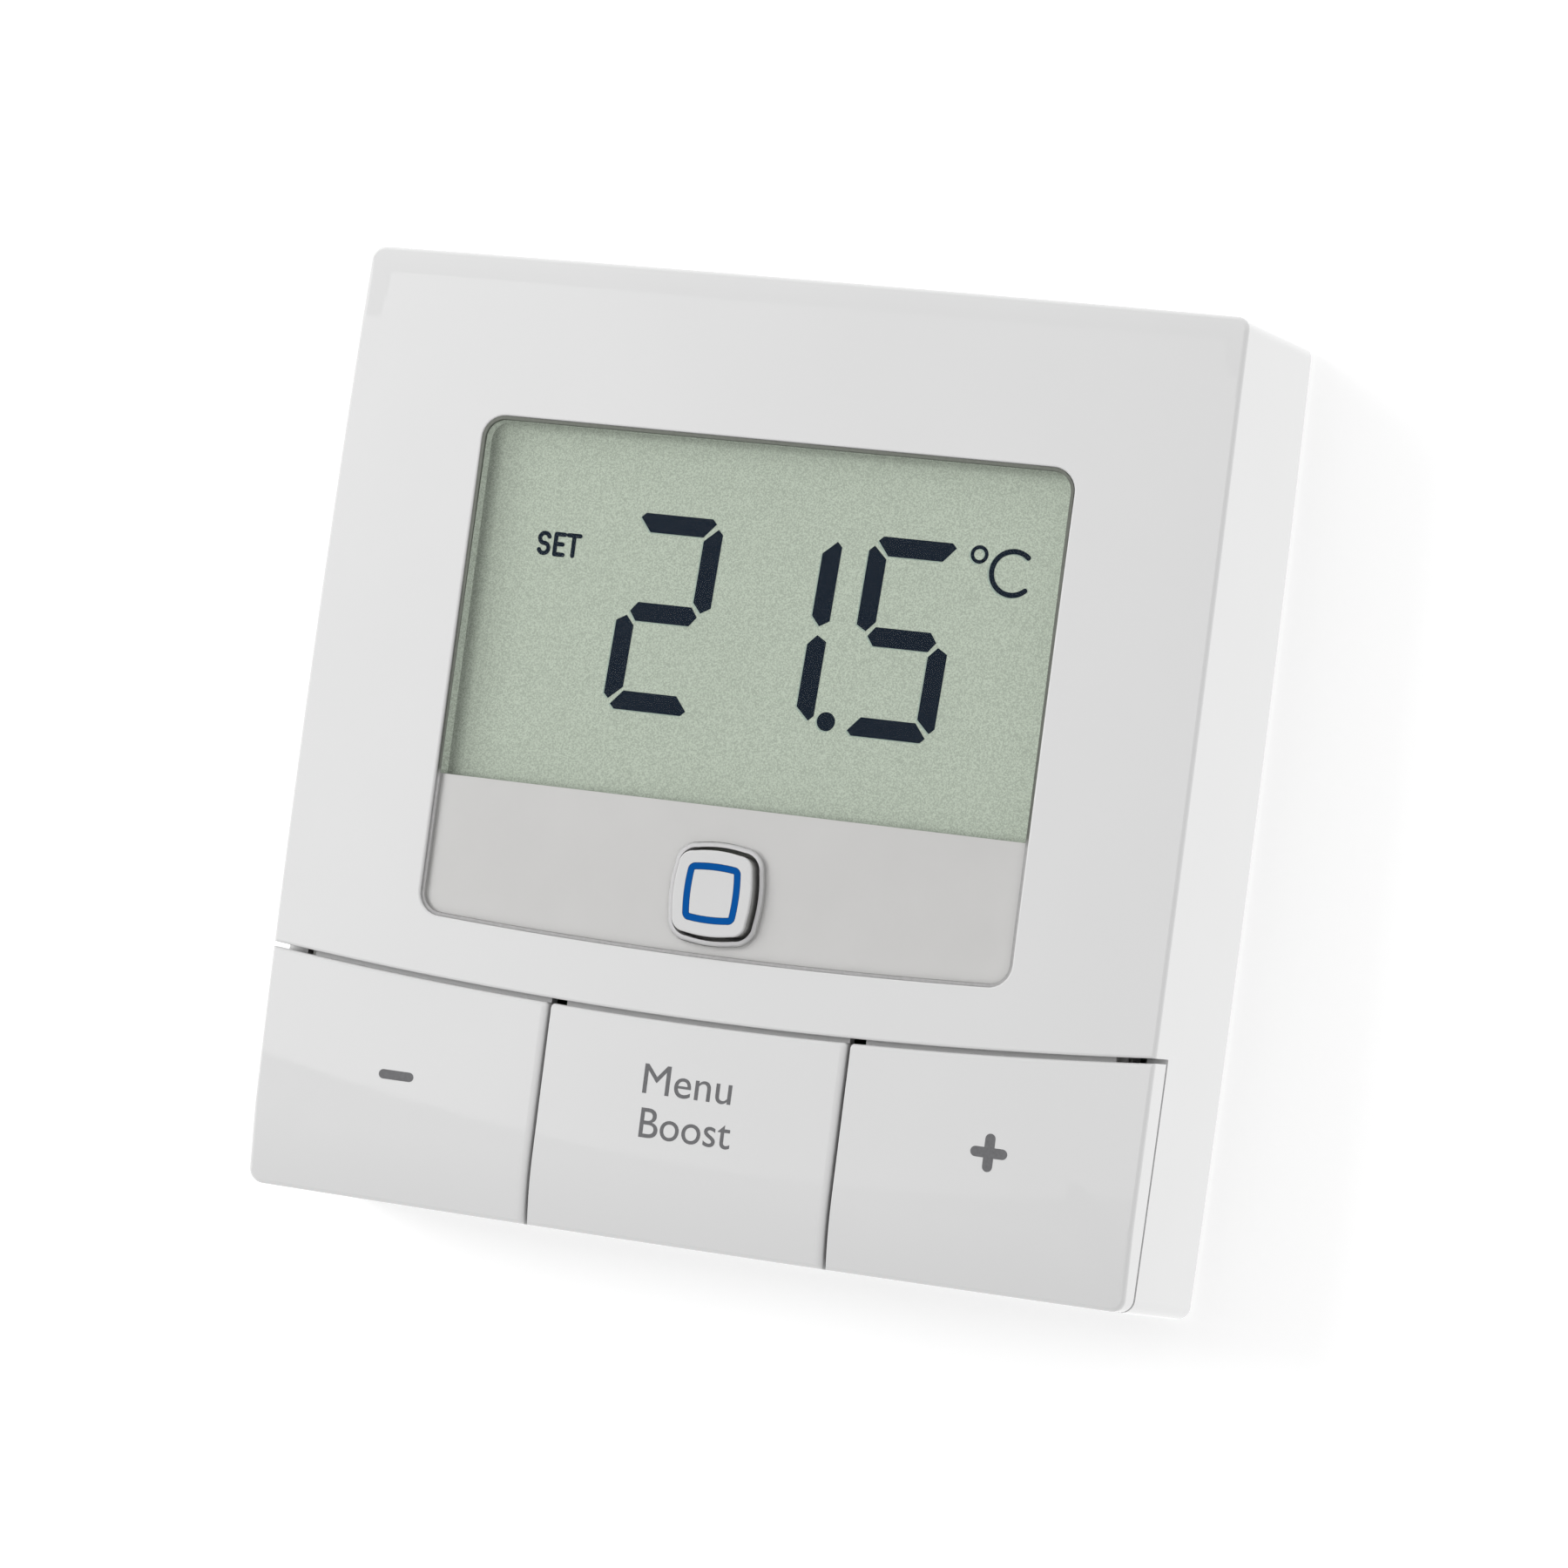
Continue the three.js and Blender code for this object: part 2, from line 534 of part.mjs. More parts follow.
// One key between x0 and x1. The outer keys also wrap round the housing's side.
function key(x0, x1, wrapLeft, wrapRight) {
  const left = wrapLeft ? -HALF_W - PAST : x0;
  const right = wrapRight ? HALF_W + PAST : x1;
  const whole = common(
    housingBlock(0, 0, KEY_BACK_Y),
    slab(belowEdge(left, right, EDGE_GAP), -DEPTH - 1, KEY_BACK_Y),
  );
  const hollow = common(
    housingBlock(KEY_WALL, KEY_WALL, KEY_BACK_Y + 1),
    slab(belowEdge(x0 + (wrapLeft ? -PAST : KEY_WALL), x1 - (wrapRight ? -PAST : KEY_WALL),
      EDGE_GAP + KEY_WALL), -DEPTH - 1, KEY_BACK_Y + 2),
  );
  const shell = cut(whole, hollow);
  const ledgeX0 = x0 + LEDGE_INSET + (wrapLeft ? LEDGE_CORNER : 0);
  const ledgeX1 = x1 - LEDGE_INSET - (wrapRight ? LEDGE_CORNER : 0);
  const ledge = slab(belowEdge(ledgeX0, ledgeX1, -LEDGE_RISE + EDGE_GAP, EDGE_GAP + LEDGE_OVERLAP),
    LEDGE_Y, LEDGE_Y + LEDGE_T);
  const webX0 = (wrapLeft ? -OUTER_LUG_X : x0 - KEY_HALF_GAP) + LUG_HALF_W + GAP;
  const webX1 = (wrapRight ? OUTER_LUG_X : x1 + KEY_HALF_GAP) - LUG_HALF_W - GAP;
  const web = box(webX0, webX1, LEDGE_Y + LEDGE_T - WEB_OVERLAP, PIVOT_Y, PIVOT_Z + WEB_LOW,
    PIVOT_Z + WEB_TOP);
  const thick = rodX(PIVOT_BAR_R, webX0, webX1, PIVOT_Y, PIVOT_Z);
  const thin = rodX(PIVOT_PIN_R, webX0 - PIN_REACH, webX1 + PIN_REACH, PIVOT_Y, PIVOT_Z, 12);
  const lugRoom = LUG_X.map((x) => box(x - LUG_HALF_W - GAP, x + LUG_HALF_W + GAP,
    PIVOT_Y + LUG_ROOM_Y, 0, PIVOT_Z + LUG_ROOM_Z, 0));
  return join(cut(join(shell, ledge, web, thick), ...lugRoom), thin);
}

// Rail behind the key pivots, with a lug between neighbouring keys and at each end.
function keyBearing() {
  const end = OUTER_LUG_X + LUG_HALF_W;
  const rail = box(-end, end, PIVOT_Y + RAIL_FRONT, BOARD_FRONT_Y - SLIVER, PIVOT_Z - RAIL_HALF_H,
    PIVOT_Z + RAIL_HALF_H);
  const lugs = LUG_X.map((x) => box(x - LUG_HALF_W, x + LUG_HALF_W, PIVOT_Y - LUG_HALF_H,
    PIVOT_Y + LUG_BACK, PIVOT_Z - LUG_HALF_H, PIVOT_Z + LUG_HALF_H));
  const bores = rodX(PIVOT_PIN_R + GAP, -HALF_W, HALF_W, PIVOT_Y, PIVOT_Z, 12);
  return cut(join(rail, ...lugs), bores);
}

// ---- System button -----------------------------------------------------------------

function ringOutline(grow) {
  return buttonOutline(grow, RING_W, RING_H, RING_R);
}

function systemButton() {
  const cap = slab(buttonOutline(0), BUTTON_FACE_Y, BUTTON_FLANGE_Y);
  const flange = slab(buttonOutline(BUTTON_FLANGE), BUTTON_FLANGE_Y, BUTTON_FLANGE_Y + BUTTON_FLANGE_T);
  const hollow = slab(buttonOutline(-BUTTON_WALL), BUTTON_ROOF_Y, BUTTON_FLANGE_Y + PAST);
  const rib = box(-BUTTON_RIB_HALF_W, BUTTON_RIB_HALF_W, BUTTON_ROOF_Y - SLIVER, BUTTON_FLANGE_Y,
    BUTTON_Z + BUTTON_RIB_LOW, BUTTON_Z + BUTTON_RIB_TOP);
  const groove = cut(
    slab(ringOutline(SLIVER), BUTTON_FACE_Y - 1, RING_BACK_Y + SLIVER),
    slab(ringOutline(-RING_STROKE - SLIVER), BUTTON_FACE_Y - 2, RING_BACK_Y + 1),
  );
  return cut(join(cut(join(cap, flange), hollow), rib), groove);
}

function lightRing() {
  return cut(
    slab(ringOutline(0), BUTTON_FACE_Y, RING_BACK_Y),
    slab(ringOutline(-RING_STROKE), BUTTON_FACE_Y - 1, RING_BACK_Y + 1),
  );
}

// ---- Switches ----------------------------------------------------------------------

// Push switch on the board: its case, and the plunger that sinks into it.
function switchCase(x, z, size, height, plungerR) {
  const face = BOARD_FRONT_Y - height;
  const block = slab(outline(size / 2, size / 2, size * 0.12, x, z), face, BOARD_FRONT_Y, 2);
  return cut(block, rodY(plungerR + GAP, face - 1, face + 1.3, x, z, 16));
}

function plunger(x, z, height, plungerR, topY) {
  return rodY(plungerR, topY, BOARD_FRONT_Y - height + 0.8, x, z, 16);
}

// ---- Display -----------------------------------------------------------------------

function lcdPanel() {
  return box(-LCD_HALF_W, LCD_HALF_W, LCD_FRONT_Y, LCD_BACK_Y, LCD_LOW, LCD_TOP);
}

function lcdReflector() {
  return box(-LCD_HALF_W + FOIL_INSET, LCD_HALF_W - FOIL_INSET, LCD_BACK_Y + FILM,
    LCD_BACK_Y + FILM + FOIL_T, LCD_LOW + FOIL_INSET, STRIP_CONTACT_Z - STRIP_CONTACT_H);
}

function lcdHolder() {
  const grow = GAP + TRAY_WALL;
  const tray = box(-LCD_HALF_W - grow, LCD_HALF_W + grow, TRAY_FRONT_Y, BOARD_FRONT_Y - SLIVER,
    LCD_LOW - grow, LCD_TOP + grow);
  const pocket = box(-LCD_HALF_W - GAP, LCD_HALF_W + GAP, TRAY_FRONT_Y - 1, TRAY_FLOOR_Y,
    LCD_LOW - GAP, LCD_TOP + GAP);
  const slot = box(-STRIP_CONTACT_HALF_W - GAP, STRIP_CONTACT_HALF_W + GAP, TRAY_FRONT_Y, 0,
    STRIP_CONTACT_Z - STRIP_CONTACT_H / 2 - GAP, STRIP_CONTACT_Z + STRIP_CONTACT_H / 2 + GAP);
  const buttonRoom = slab(buttonOutline(TRAY_BUTTON_ROOM), -DEPTH, 0);
  return cut(tray, pocket, slot, buttonRoom);
}

function contactStrip() {
  return box(-STRIP_CONTACT_HALF_W, STRIP_CONTACT_HALF_W, LCD_BACK_Y + SLIVER, BOARD_FRONT_Y - SLIVER,
    STRIP_CONTACT_Z - STRIP_CONTACT_H / 2, STRIP_CONTACT_Z + STRIP_CONTACT_H / 2);
}

// ---- Board and what is on it -------------------------------------------------------

function circuitBoard() {
  const board = slab(outline(BOARD_HALF_W, (BOARD_TOP - BOARD_LOW) / 2, BOARD_CORNER_R, 0,
    (BOARD_TOP + BOARD_LOW) / 2), BOARD_FRONT_Y, BOARD_BACK_Y, 2);
  const notches = [-1, 1].map((side) => box(
    Math.min(side * HALF_W, side * (BOARD_HALF_W - BOARD_NOTCH)),
    Math.max(side * HALF_W, side * (BOARD_HALF_W - BOARD_NOTCH)),
    -DEPTH, 0, -HALF_H, BOARD_LOW + BOARD_NOTCH,
  ));
  // Two slots keep the board's warmth away from the climate sensor.
  const { x0, x1, z0, z1, width } = ISOLATION;
  const isolation = [
    box(x0, x0 + width, -DEPTH, 0, -HALF_H, z0),
    box(x0, x1, -DEPTH, 0, z0, z1),
  ];
  return cut(board, ...notches, ...isolation);
}

function backPart(x, z, width, height, thickness, r = 0.3) {
  return slab(outline(width / 2, height / 2, r, x, z), BOARD_BACK_Y + SLIVER,
    BOARD_BACK_Y + SLIVER + thickness, 2);
}

// Radio antenna: one wire standing off the board's upper edge.
function antenna() {
  const y = BOARD_BACK_Y + 1;
  const path = new THREE.CurvePath();
  const corners = [[-30, 28], [-30, 36.8], [30, 36.8], [30, 35]]
    .map(([x, z]) => new THREE.Vector3(x, y, z));
  const bend = 1.2;
  let from = corners[0];
  corners.slice(1, -1).forEach((corner, i) => {
    const before = corner.clone().add(from.clone().sub(corner).setLength(bend));
    const after = corner.clone().add(corners[i + 2].clone().sub(corner).setLength(bend));
    path.add(new THREE.LineCurve3(from, before));
    path.add(new THREE.QuadraticBezierCurve3(before, corner, after));
    from = after;
  });
  path.add(new THREE.LineCurve3(from, corners[corners.length - 1]));
  const section = new THREE.Shape().absarc(0, 0, 0.35, 0, 2 * Math.PI, false);
  return new THREE.ExtrudeGeometry(section, { steps: 36, extrudePath: path, curveSegments: 4 });
}

// ---- Cells and contacts ------------------------------------------------------------

const CONTACT_T = 0.4;
const CONTACT_X = BAY_HALF_W - SLIVER;
const CELL_FLAT_X = CELL_LENGTH + CELL_NUB - CONTACT_X + CONTACT_T + SLIVER;

// Round cell along X, with its raised end towards +X or -X.
function cell(z, towards) {
  const half = (CELL_LENGTH + CELL_NUB) / 2;
  const shoulder = half - CELL_NUB;
  const profile = [[0, -half], [CELL_R - 0.4, -half], [CELL_R, -half + 0.4], [CELL_R, shoulder - 0.4],
    [CELL_R - 0.4, shoulder], [1.9, shoulder], [1.9, half], [0, half]];
  const geometry = new THREE.LatheGeometry(profile.map(([r, h]) => new THREE.Vector2(r, h)), 28);
  const shift = CONTACT_X - CONTACT_T - SLIVER - half;
  return geometry.rotateZ(towards > 0 ? -Math.PI / 2 : Math.PI / 2)
    .translate(towards * shift, CELL_Y, z);
}

function contact(side, z, halfH) {
  const x = side * CONTACT_X;
  return box(Math.min(x, x - side * CONTACT_T), Math.max(x, x - side * CONTACT_T),
    BAY_FLOOR_Y + 0.6, CASE_BACK_Y - 1.2, z - halfH, z + halfH);
}

// Conical spring along X between a contact and the flat end of a cell.
class SpringCurve extends THREE.Curve {
  constructor(side, z) {
    super();
    this.side = side;
    this.z = z;
  }

  getPoint(t, target = new THREE.Vector3()) {
    const turns = 2.5;
    const atCell = CELL_FLAT_X + 0.35;
    const atContact = CONTACT_X - CONTACT_T - 0.35;
    const angle = 2 * Math.PI * turns * t;
    const r = 1.7 + 1.5 * t;
    const x = atCell + (atContact - atCell) * t;
    return target.set(this.side * x, CELL_Y + r * Math.cos(angle),
      this.z + r * Math.sin(angle));
  }
}

function cellSpring(side, z) {
  const section = new THREE.Shape().absarc(0, 0, 0.22, 0, 2 * Math.PI, false);
  return new THREE.ExtrudeGeometry(section, {
    steps: 36, extrudePath: new SpringCurve(side, z), curveSegments: 3,
  });
}

// ---- Assembly ----------------------------------------------------------------------

const group = new THREE.Group();

function add(name, geometry, finish) {
  const mesh = new THREE.Mesh(geometry, new THREE.MeshStandardMaterial(FINISH[finish]));
  mesh.name = name;
  group.add(mesh);
}

// Fixed to the wall
add('wall_plate', wallPlate(), 'inner');
add('adhesive_pad_upper', adhesivePad(1), 'foam');
add('adhesive_pad_lower', adhesivePad(-1), 'foam');

// Housing
add('front_cover', frontCover(), 'white');
add('rear_case', rearCase(), 'inner');
[[-1, 1], [1, 1], [-1, -1], [1, -1]].forEach(([side, end], i) => {
  add(`housing_screw_${i + 1}`, housingScrew(side * BOSS_X, end * BOSS_Z), 'steel');
});

// Window and display
add('lens', lens(), 'clear');
add('lens_mask', lensMask(), 'strip');
add('lcd_panel', lcdPanel(), 'display');
add('lcd_reflector', lcdReflector(), 'foam');
add('lcd_holder', lcdHolder(), 'inner');
add('contact_strip', contactStrip(), 'rubber');

// Keys, from left to right
const OUTER_X = HALF_W - SHELL;
const INNER_X = KEY_SPLIT_X + KEY_HALF_GAP;
const MENU_X = KEY_SPLIT_X - KEY_HALF_GAP;
const KEYS = [
  { name: 'minus', x: -SWITCH_X, from: -OUTER_X, to: -INNER_X, left: true, right: false },
  { name: 'menu', x: 0, from: -MENU_X, to: MENU_X, left: false, right: false },
  { name: 'plus', x: SWITCH_X, from: INNER_X, to: OUTER_X, left: false, right: true },
];
const KEY_SWITCH = { size: 6, height: 3.4, plungerR: 1.7 };
for (const { name, x, from, to, left, right } of KEYS) {
  const { size, height, plungerR } = KEY_SWITCH;
  const top = frontY(SWITCH_Z) + KEY_WALL + 0.3;
  add(`${name}_key`, key(from, to, left, right), 'white');
  add(`${name}_switch`, switchCase(x, SWITCH_Z, size, height, plungerR), 'chip');
  add(`${name}_plunger`, plunger(x, SWITCH_Z, height, plungerR, top), 'white');
}
add('key_bearing', keyBearing(), 'inner');

// System button
const SYSTEM_SWITCH = { z: BUTTON_Z - 1.5, size: 3.4, height: 1.9, plungerR: 0.8 };
add('system_button', systemButton(), 'white');
add('light_ring', lightRing(), 'blue');
add('system_switch', switchCase(0, SYSTEM_SWITCH.z, SYSTEM_SWITCH.size, SYSTEM_SWITCH.height,
  SYSTEM_SWITCH.plungerR), 'chip');
add('system_plunger', plunger(0, SYSTEM_SWITCH.z, SYSTEM_SWITCH.height, SYSTEM_SWITCH.plungerR,
  BUTTON_FLANGE_Y + 0.3), 'white');
add('status_led', box(-0.9, 0.9, BOARD_FRONT_Y - 0.9, BOARD_FRONT_Y - SLIVER,
  BUTTON_Z + 1.4, BUTTON_Z + 2.6), 'foam');

// Electronics
add('circuit_board', circuitBoard(), 'board');
add('processor_chip', backPart(2, 22, 10, 10, 1.4), 'chip');
add('radio_module', backPart(-24, 22, 13, 12, 2.2, 0.6), 'steel');
add('crystal', backPart(12, 22, 3.4, 7, 1.2, 1), 'steel');
add('capacitor', rodY(3.2, BOARD_BACK_Y + SLIVER, BOARD_BACK_Y + 5.6, 23, 22, 20), 'cell');
add('climate_sensor', box(20.4, 23.4, BOARD_BACK_Y + SLIVER, BOARD_BACK_Y + 1.2, -38.6, -36), 'foam');
add('antenna', antenna(), 'copper');

// Cells and their contacts
add('cell_upper', cell(CELL_Z, 1), 'cell');
add('cell_lower', cell(-CELL_Z, -1), 'cell');
add('cell_spring_upper', cellSpring(-1, CELL_Z), 'steel');
add('cell_spring_lower', cellSpring(1, -CELL_Z), 'steel');
add('contact_bridge', contact(1, 0, BAY_HALF_H - 0.6), 'steel');
add('contact_plus', contact(-1, -CELL_Z, 4.6), 'steel');
add('contact_minus', contact(-1, CELL_Z, 4.6), 'steel');

export default group;
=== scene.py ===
import math

import bmesh
import bpy
from mathutils import Matrix, Vector


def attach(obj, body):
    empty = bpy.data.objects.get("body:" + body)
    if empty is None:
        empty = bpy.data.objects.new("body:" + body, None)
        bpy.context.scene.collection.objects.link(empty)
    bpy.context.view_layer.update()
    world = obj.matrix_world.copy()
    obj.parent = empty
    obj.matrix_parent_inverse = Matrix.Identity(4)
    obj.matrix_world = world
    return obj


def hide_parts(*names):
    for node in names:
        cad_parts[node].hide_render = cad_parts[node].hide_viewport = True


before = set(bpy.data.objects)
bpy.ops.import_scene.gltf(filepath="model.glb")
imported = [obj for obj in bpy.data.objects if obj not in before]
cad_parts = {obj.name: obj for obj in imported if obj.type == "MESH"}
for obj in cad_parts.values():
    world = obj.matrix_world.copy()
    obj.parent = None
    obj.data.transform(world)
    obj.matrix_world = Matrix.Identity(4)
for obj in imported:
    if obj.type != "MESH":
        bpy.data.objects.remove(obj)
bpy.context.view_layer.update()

# A wall thermostat. Shapes are worked out in millimetres and scaled to metres once.
# The front faces -Y, Z is up, and the wall is the plane Y = 0.
MM = 0.001

# ---- Dimensions shared with the CAD model (mm) ----------------------------------------

HALF_W, HALF_H, DEPTH = 40.0, 42.0, 22.0
DRAFT_X, DRAFT_Z = 0.75, 1.2
BULGE_X, BULGE_Z = 0.3, 0.15
CORNER_R = 1.2
SHELL, FRONT_WALL, RIM_BACK = 1.8, 2.0, -0.4
GAP = 0.3
CROWN_Z, CROWN_R = -8.0, 1600.0
TOP_ROLL_Z, TOP_ROLL_R = 38.5, 8.0
LOW_ROLL_Z, LOW_ROLL_R = -35.0, 21.0

WIN_HALF_W, WIN_TOP, WIN_LOW, WIN_SAG, WIN_R = 26.3, 26.95, -16.05, 0.65, 2.0
STRIP_Z = -3.95
LENS_SET_BACK, LENS_SEAT_Y, LENS_BACK_Y, LENS_FLANGE = 0.15, -20.2, -19.0, 1.8

EDGE_Z, EDGE_R, EDGE_GAP = -21.9, 405.0, 0.4
KEY_SPLIT_X, KEY_HALF_GAP = 13.3, 0.15
KEY_BACK_Y, KEY_STOP_Y, KEY_WALL = -18.45, -18.0, 1.5
COLLAR_GAP, COLLAR_T, COLLAR_FRONT_Y, COLLAR_BACK_Y = 0.4, 1.0, -19.3, -16.8
LEDGE_Y, LEDGE_T, LEDGE_RISE, LEDGE_LEFT, LEDGE_RIGHT = -20.6, 1.3, 1.0, 0.95, 0.15
PIVOT_Y, PIVOT_Z, PIVOT_BAR_R, PIVOT_PIN_R = -18.5, -19.9, 0.8, 0.5
LUG_HALF_W, OUTER_LUG_X, PIN_REACH = 0.9, 35.4, 0.95
LUG_ROOM_Y, LUG_ROOM_Z = 1.6, 1.7          # room cut for a lug, from the pivot's axis
LEDGE_CORNER_LEFT, LEDGE_CORNER_RIGHT = 1.6, 2.4
LEDGE_SLOT_HALF_W = 38
WEB_OVERLAP, WEB_LOW, WEB_TOP = 0.35, 1.9, 0.2

BUTTON_Z, BUTTON_W, BUTTON_H, BUTTON_R = -11.3, 6.9, 7.2, 1.2
BUTTON_FACE_Y, BUTTON_FLANGE_Y = -22.65, -18.4
BUTTON_BOW = 0.2
RING_W, RING_H, RING_STROKE, RING_R, RING_BOW = 4.85, 5.0, 0.54, 0.65, 0.1
SURROUND_IN, SURROUND_OUT, SURROUND_Y, SURROUND_ROUND = 0.34, 0.74, -21.62, 0.28
FILM_Y, FILM_T, FILM_GAP, FILM_RIM = -21.2, 0.2, 0.02, 0.1
HOLE_GROW = SURROUND_OUT + 0.03

LCD_FRONT_Y = -18.3
BOSS_X, BOSS_Z, BOSS_R, SCREW_R = 35.4, 37.4, 2.9, 1.0
BOSS_TOP_FRONT_Y, BOSS_LOW_FRONT_Y, BORE_FRONT_Y = -20.6, -17.2, -14.5
CASE_BACK_Y, CASE_PANEL = -2.3, 1.7
VENT_X, VENT_STEP, VENT_HALF_W, VENT_REACH = 24, 3.6, 0.7, 0.8
VENT_FRONT_Y, VENT_BACK_Y = -12.5, -6

# Edge roundings that only the visual model has
EDGE_ROUND = 0.45        # front outer edge of the housing
RIM_ROUND = 0.2          # rim of the window
ARC_ROUND = 0.25         # lower edge of the cover
KEY_ROUND = 0.38         # edges of the keys
KEY_CRISP = 0.12         # a key's left edge, beside its neighbour
KEY_SOFT = 0.7           # a key's right edge
LENS_ROUND = 0.25        # edge of the window pane
FAR = 47.0               # well outside the housing


# ---- Outlines in X and Z ---------------------------------------------------------------

def front_y(z):
    z = max(z, -HALF_H - 0.6)
    crown = (z - CROWN_Z) ** 2 / (2 * CROWN_R)
    top = max(0.0, z - TOP_ROLL_Z) ** 2 / (2 * TOP_ROLL_R)
    low = max(0.0, LOW_ROLL_Z - z) ** 2 / (2 * LOW_ROLL_R)
    return -DEPTH + crown + top + low


def front_normal(z):
    slope = ((z - CROWN_Z) / CROWN_R + max(0.0, z - TOP_ROLL_Z) / TOP_ROLL_R
             - max(0.0, LOW_ROLL_Z - z) / LOW_ROLL_R)
    return Vector((0.0, -1.0, slope)).normalized()


def edge_z(x, drop=0.0):
    return EDGE_Z - drop + x * x / (2 * EDGE_R)


def rounded(half_w, half_h, r, cx=0.0, cz=0.0, bow_x=0.0, bow_z=0.0, arc=7, side=14, low_bow=None):
    """Rounded rectangle whose sides may bow out, always with the same number of points."""
    low_bow = bow_z if low_bow is None else low_bow
    x, z = half_w - bow_x, half_h - bow_z
    corners = [(-1, -1, math.pi), (1, -1, 1.5 * math.pi), (1, 1, 0.0), (-1, 1, 0.5 * math.pi)]
    bows = [(0, -low_bow), (bow_x, 0), (0, bow_z), (-bow_x, 0)]
    arcs = []
    for sx, sz, start in corners:
        ax, az = sx * (x - r), sz * (z - r)
        arcs.append([(ax + r * math.cos(start + 0.5 * math.pi * k / arc),
                      az + r * math.sin(start + 0.5 * math.pi * k / arc)) for k in range(arc + 1)])
    points = []
    for n in range(4):
        points += arcs[n]
        (ax, az), (bx, bz) = arcs[n][-1], arcs[(n + 1) % 4][0]
        for k in range(1, side):
            t = k / side
            swell = 4 * t * (1 - t)
            points.append((ax + (bx - ax) * t + bows[n][0] * swell,
                           az + (bz - az) * t + bows[n][1] * swell))
    return [(cx + px, cz + pz) for px, pz in points]


def housing_outline(shrink):
    r = max(CORNER_R - shrink, 0.15)
    fade = max(0.0, 1.0 - shrink / HALF_W)
    return rounded(HALF_W - shrink, HALF_H - shrink, r, 0, 0, BULGE_X * fade, BULGE_Z * fade)


def window_outline(grow):
    middle = (WIN_TOP + WIN_LOW) / 2
    half = (WIN_TOP - WIN_LOW) / 2
    return rounded(WIN_HALF_W + grow, half + grow, WIN_R + grow, 0, middle, 0, 0, 8, 20, WIN_SAG)


def button_outline(grow, width=BUTTON_W, height=BUTTON_H, r=BUTTON_R, bow=BUTTON_BOW):
    return rounded(width / 2 + grow, height / 2 + grow, max(r + grow, 0.1), 0, BUTTON_Z,
                   bow, bow, 10, 12)


def ring_outline(grow):
    return button_outline(grow, RING_W, RING_H, RING_R, RING_BOW)


def leaned(x, y, z):
    """The housing's sides lean in towards the front."""
    lean = -y / DEPTH
    return (x * (1 - DRAFT_X / HALF_W * lean), y, z * (1 - DRAFT_Z / HALF_H * lean))


def roll(r, steps=6):
    """Inset and depth of each line round a quarter rounding, from the side to the face."""
    turns = [0.5 * math.pi * k / steps for k in range(steps + 1)]
    return [(r * (1 - math.cos(t)), r * (1 - math.sin(t))) for t in turns]


# ---- Solids ----------------------------------------------------------------------------

def solid(verts, faces):
    mesh = bpy.data.meshes.new("work")
    mesh.from_pydata([tuple(v) for v in verts], [], faces)
    bm = bmesh.new()
    bm.from_mesh(mesh)
    bmesh.ops.remove_doubles(bm, verts=bm.verts, dist=1e-5)
    bmesh.ops.recalc_face_normals(bm, faces=bm.faces)
    bm.to_mesh(mesh)
    bm.free()
    obj = bpy.data.objects.new("work", mesh)
    bpy.context.scene.collection.objects.link(obj)
    return obj


def loft(loops):
    """Closed solid through loops of points with equal counts, capped at both ends."""
    n = len(loops[0])
    verts = [p for line in loops for p in line]
    faces = [tuple(range(n))[::-1]]
    for row in range(len(loops) - 1):
        a, b = row * n, (row + 1) * n
        faces += [(a + k, a + (k + 1) % n, b + (k + 1) % n, b + k) for k in range(n)]
    faces.append(tuple(range((len(loops) - 1) * n, len(loops) * n)))
    return solid(verts, faces)


def prism(points, y0, y1):
    return loft([[(x, y0, z) for x, z in points], [(x, y1, z) for x, z in points]])


def block(x0, x1, y0, y1, z0, z1):
    return prism([(x0, z0), (x1, z0), (x1, z1), (x0, z1)], y0, y1)


def rod_y(r, y0, y1, x, z, sides=32):
    turn = [2 * math.pi * k / sides for k in range(sides)]
    return prism([(x + r * math.cos(t), z + r * math.sin(t)) for t in turn], y0, y1)


def rod_x(r, x0, x1, y, z, sides=24):
    turn = [2 * math.pi * k / sides for k in range(sides)]
    return loft([[(x, y + r * math.cos(t), z + r * math.sin(t)) for t in turn] for x in (x0, x1)])


def combine(a, b, operation):
    mod = a.modifiers.new("work", "BOOLEAN")
    mod.object = b
    mod.operation = operation
    mod.solver = "EXACT"
    mesh = bpy.data.meshes.new_from_object(
        a.evaluated_get(bpy.context.evaluated_depsgraph_get()))
    a.modifiers.clear()
    old, a.data = a.data, mesh
    bpy.data.meshes.remove(old)
    tool = b.data
    bpy.data.objects.remove(b)
    bpy.data.meshes.remove(tool)
    return a


def cut(a, *tools):
    for tool in tools:
        a = combine(a, tool, "DIFFERENCE")
    return a


def join(a, *others):
    for other in others:
        a = combine(a, other, "UNION")
    return a


def common(a, b):
    return combine(a, b, "INTERSECT")


# Lines across the front face, as insets from its edge, and the furthest one that still fits
FACE_INSETS = (0.3, 0.7, 1.1, 1.5, 1.9, 2.4, 3.0, 3.6, 4.2, 4.8, 5.5, 6.5, 9, 13, 18, 24, 30, 35, 38.5)
FACE_REACH = 39.3


def housing_block(shrink, offset, back_y, edge_round):
    """The housing's outer form, shrunk sideways and set back from the front."""
    def ring(inset, depth):
        points = []
        for x, z in housing_outline(shrink + inset):
            x, _, z = leaned(x, front_y(z) + offset + depth, z)
            points.append((x, front_y(z) + offset + depth, z))
        return points

    loops = [[leaned(x, back_y, z) for x, z in housing_outline(shrink)]]
    turns = roll(edge_round)
    loops += [ring(inset, depth) for inset, depth in turns]
    loops += [ring(edge_round + inset, 0.0) for inset in FACE_INSETS
              if shrink + inset + edge_round < FACE_REACH]
    return loft(loops)


